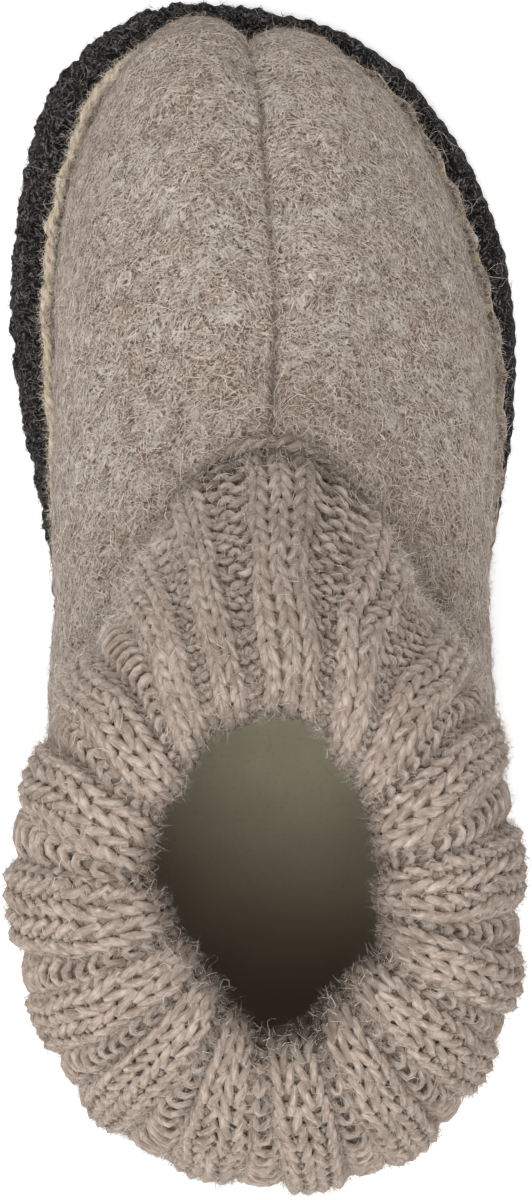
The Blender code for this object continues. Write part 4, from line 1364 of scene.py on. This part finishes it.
# %% Fuzz on the lip
LIP_HAIRS = 9000
lip_grid = np.concatenate([np.concatenate(lip[2:], axis=1), face[:, :3]], axis=1)
lip_grid = np.concatenate([lip_grid, lip_grid[:1]], axis=0)
root, normal = scatter(lip_grid, LIP_HAIRS, 91, 1.0 - 0.85 * big_toe_side[:, None])
rng = np.random.default_rng(92)
outward = unit(normal * np.array([1.0, 1.0, 0.0]) + 0.6 * unit(root * np.array([1.0, 1.0, 0.0])))
swing = rng.normal(0, 1.1, LIP_HAIRS)[:, None]
outward = outward * np.cos(swing) + np.cross(np.array([0.0, 0.0, 1.0]), outward) * np.sin(swing)
sizes = draw(rng, LIP_HAIRS, (0.3, 1.2), (0.045, 0.08), 0.1, (0.0, 0.3), (0.3, 1.8))
fuzz = hairs(root, unit(normal + np.array([0, 0, 0.8])), *sizes, seed=93, steps=2, heading=outward)
lay_hairs("lip_fuzz", fuzz, hair_finish, "upper", 94, 0.05, 0.85)

# %% [markdown]
# ## Floor, light and camera
# The picture was taken straight down on white, in soft light that comes from above and a little
# from behind the heel and the big-toe side. A wide pale floor that glows a little, one large soft
# light above the heel end, a weaker one from the big-toe side, two faint ones from the other side
# and the toe, and an even surround give the same.

# %% Floor and light
FLOOR_HALF, FLOOR_HEIGHT, FLOOR_GLOW, SURROUND = 3.0, -0.0006, 0.3, 0.65
# Name, place and aim in metres, width in metres and power in watts.
LIGHTS = (
    ("key_light", (-0.07, -0.36, 1.15), (0, 0, 0.03), 0.65, 12.2),
    ("left_light", (-0.7, 0.2, 0.9), (0, 0, 0.03), 0.8, 3.6),
    ("right_light", (0.7, 0.0, 0.9), (0, 0, 0.03), 0.8, 0.6),
    ("front_light", (0.0, 0.35, 1.2), (0, -0.03, 0.03), 0.4, 1.0),
)
floor_finish = Finish("pale_floor", 0.9)
floor_finish.colour((0.92, 0.92, 0.92, 1))
floor_finish.shader.inputs["Emission Color"].default_value = (1, 1, 1, 1)
floor_finish.shader.inputs["Emission Strength"].default_value = FLOOR_GLOW
floor_mesh = bpy.data.meshes.new("floor_sheet")
square = ((-1, -1), (1, -1), (1, 1), (-1, 1))
corners = [(x * FLOOR_HALF, y * FLOOR_HALF, FLOOR_HEIGHT) for x, y in square]
floor_mesh.from_pydata(corners, [], [(0, 1, 2, 3)])
floor_mesh.materials.append(floor_finish.material)
floor = bpy.data.objects.new("floor_sheet", floor_mesh)
bpy.context.scene.collection.objects.link(floor)


def soft_light(name, place, aim, size, watts):
    """A square area light at a place, turned so that it shines at aim."""
    lamp = bpy.data.lights.new(name, "AREA")
    lamp.shape, lamp.size, lamp.energy = "SQUARE", size, watts
    made = bpy.data.objects.new(name, lamp)
    made.location = place
    towards = np.array(aim) - np.array(place)
    tilt = math.acos(-towards[2] / np.linalg.norm(towards))
    made.rotation_euler = (tilt, 0, math.atan2(towards[0], -towards[1]) + math.pi)
    bpy.context.scene.collection.objects.link(made)
    return made


for light in LIGHTS:
    soft_light(*light)
surround = bpy.data.worlds.new("surround")
surround.use_nodes = True
surround.node_tree.nodes["Background"].inputs["Color"].default_value = (1, 1, 1, 1)
surround.node_tree.nodes["Background"].inputs["Strength"].default_value = SURROUND
bpy.context.scene.world = surround
bpy.context.scene.view_settings.view_transform = "Standard"
print("lights:", len(LIGHTS))

# %% [markdown]
# The camera looks straight down from 0.8 m, so things nearer to it look larger, as the cuff does.
# The length of its lens follows from the picture's height and the pixels that a millimetre of the
# floor takes in it.

# %% Camera
CAMERA_HEIGHT, PIXELS_PER_MM, PICTURE_HEIGHT, SENSOR = 0.8, 6.77, 1200, 36.0
lens = bpy.data.cameras.new("overhead")
lens.sensor_width = SENSOR
lens.lens = SENSOR * CAMERA_HEIGHT / (PICTURE_HEIGHT / PIXELS_PER_MM * MM)
camera = bpy.data.objects.new("overhead", lens)
camera.location = (0, 0, CAMERA_HEIGHT)
bpy.context.scene.collection.objects.link(camera)
bpy.context.scene.camera = camera
print(f"lens: {lens.lens:.0f} mm")
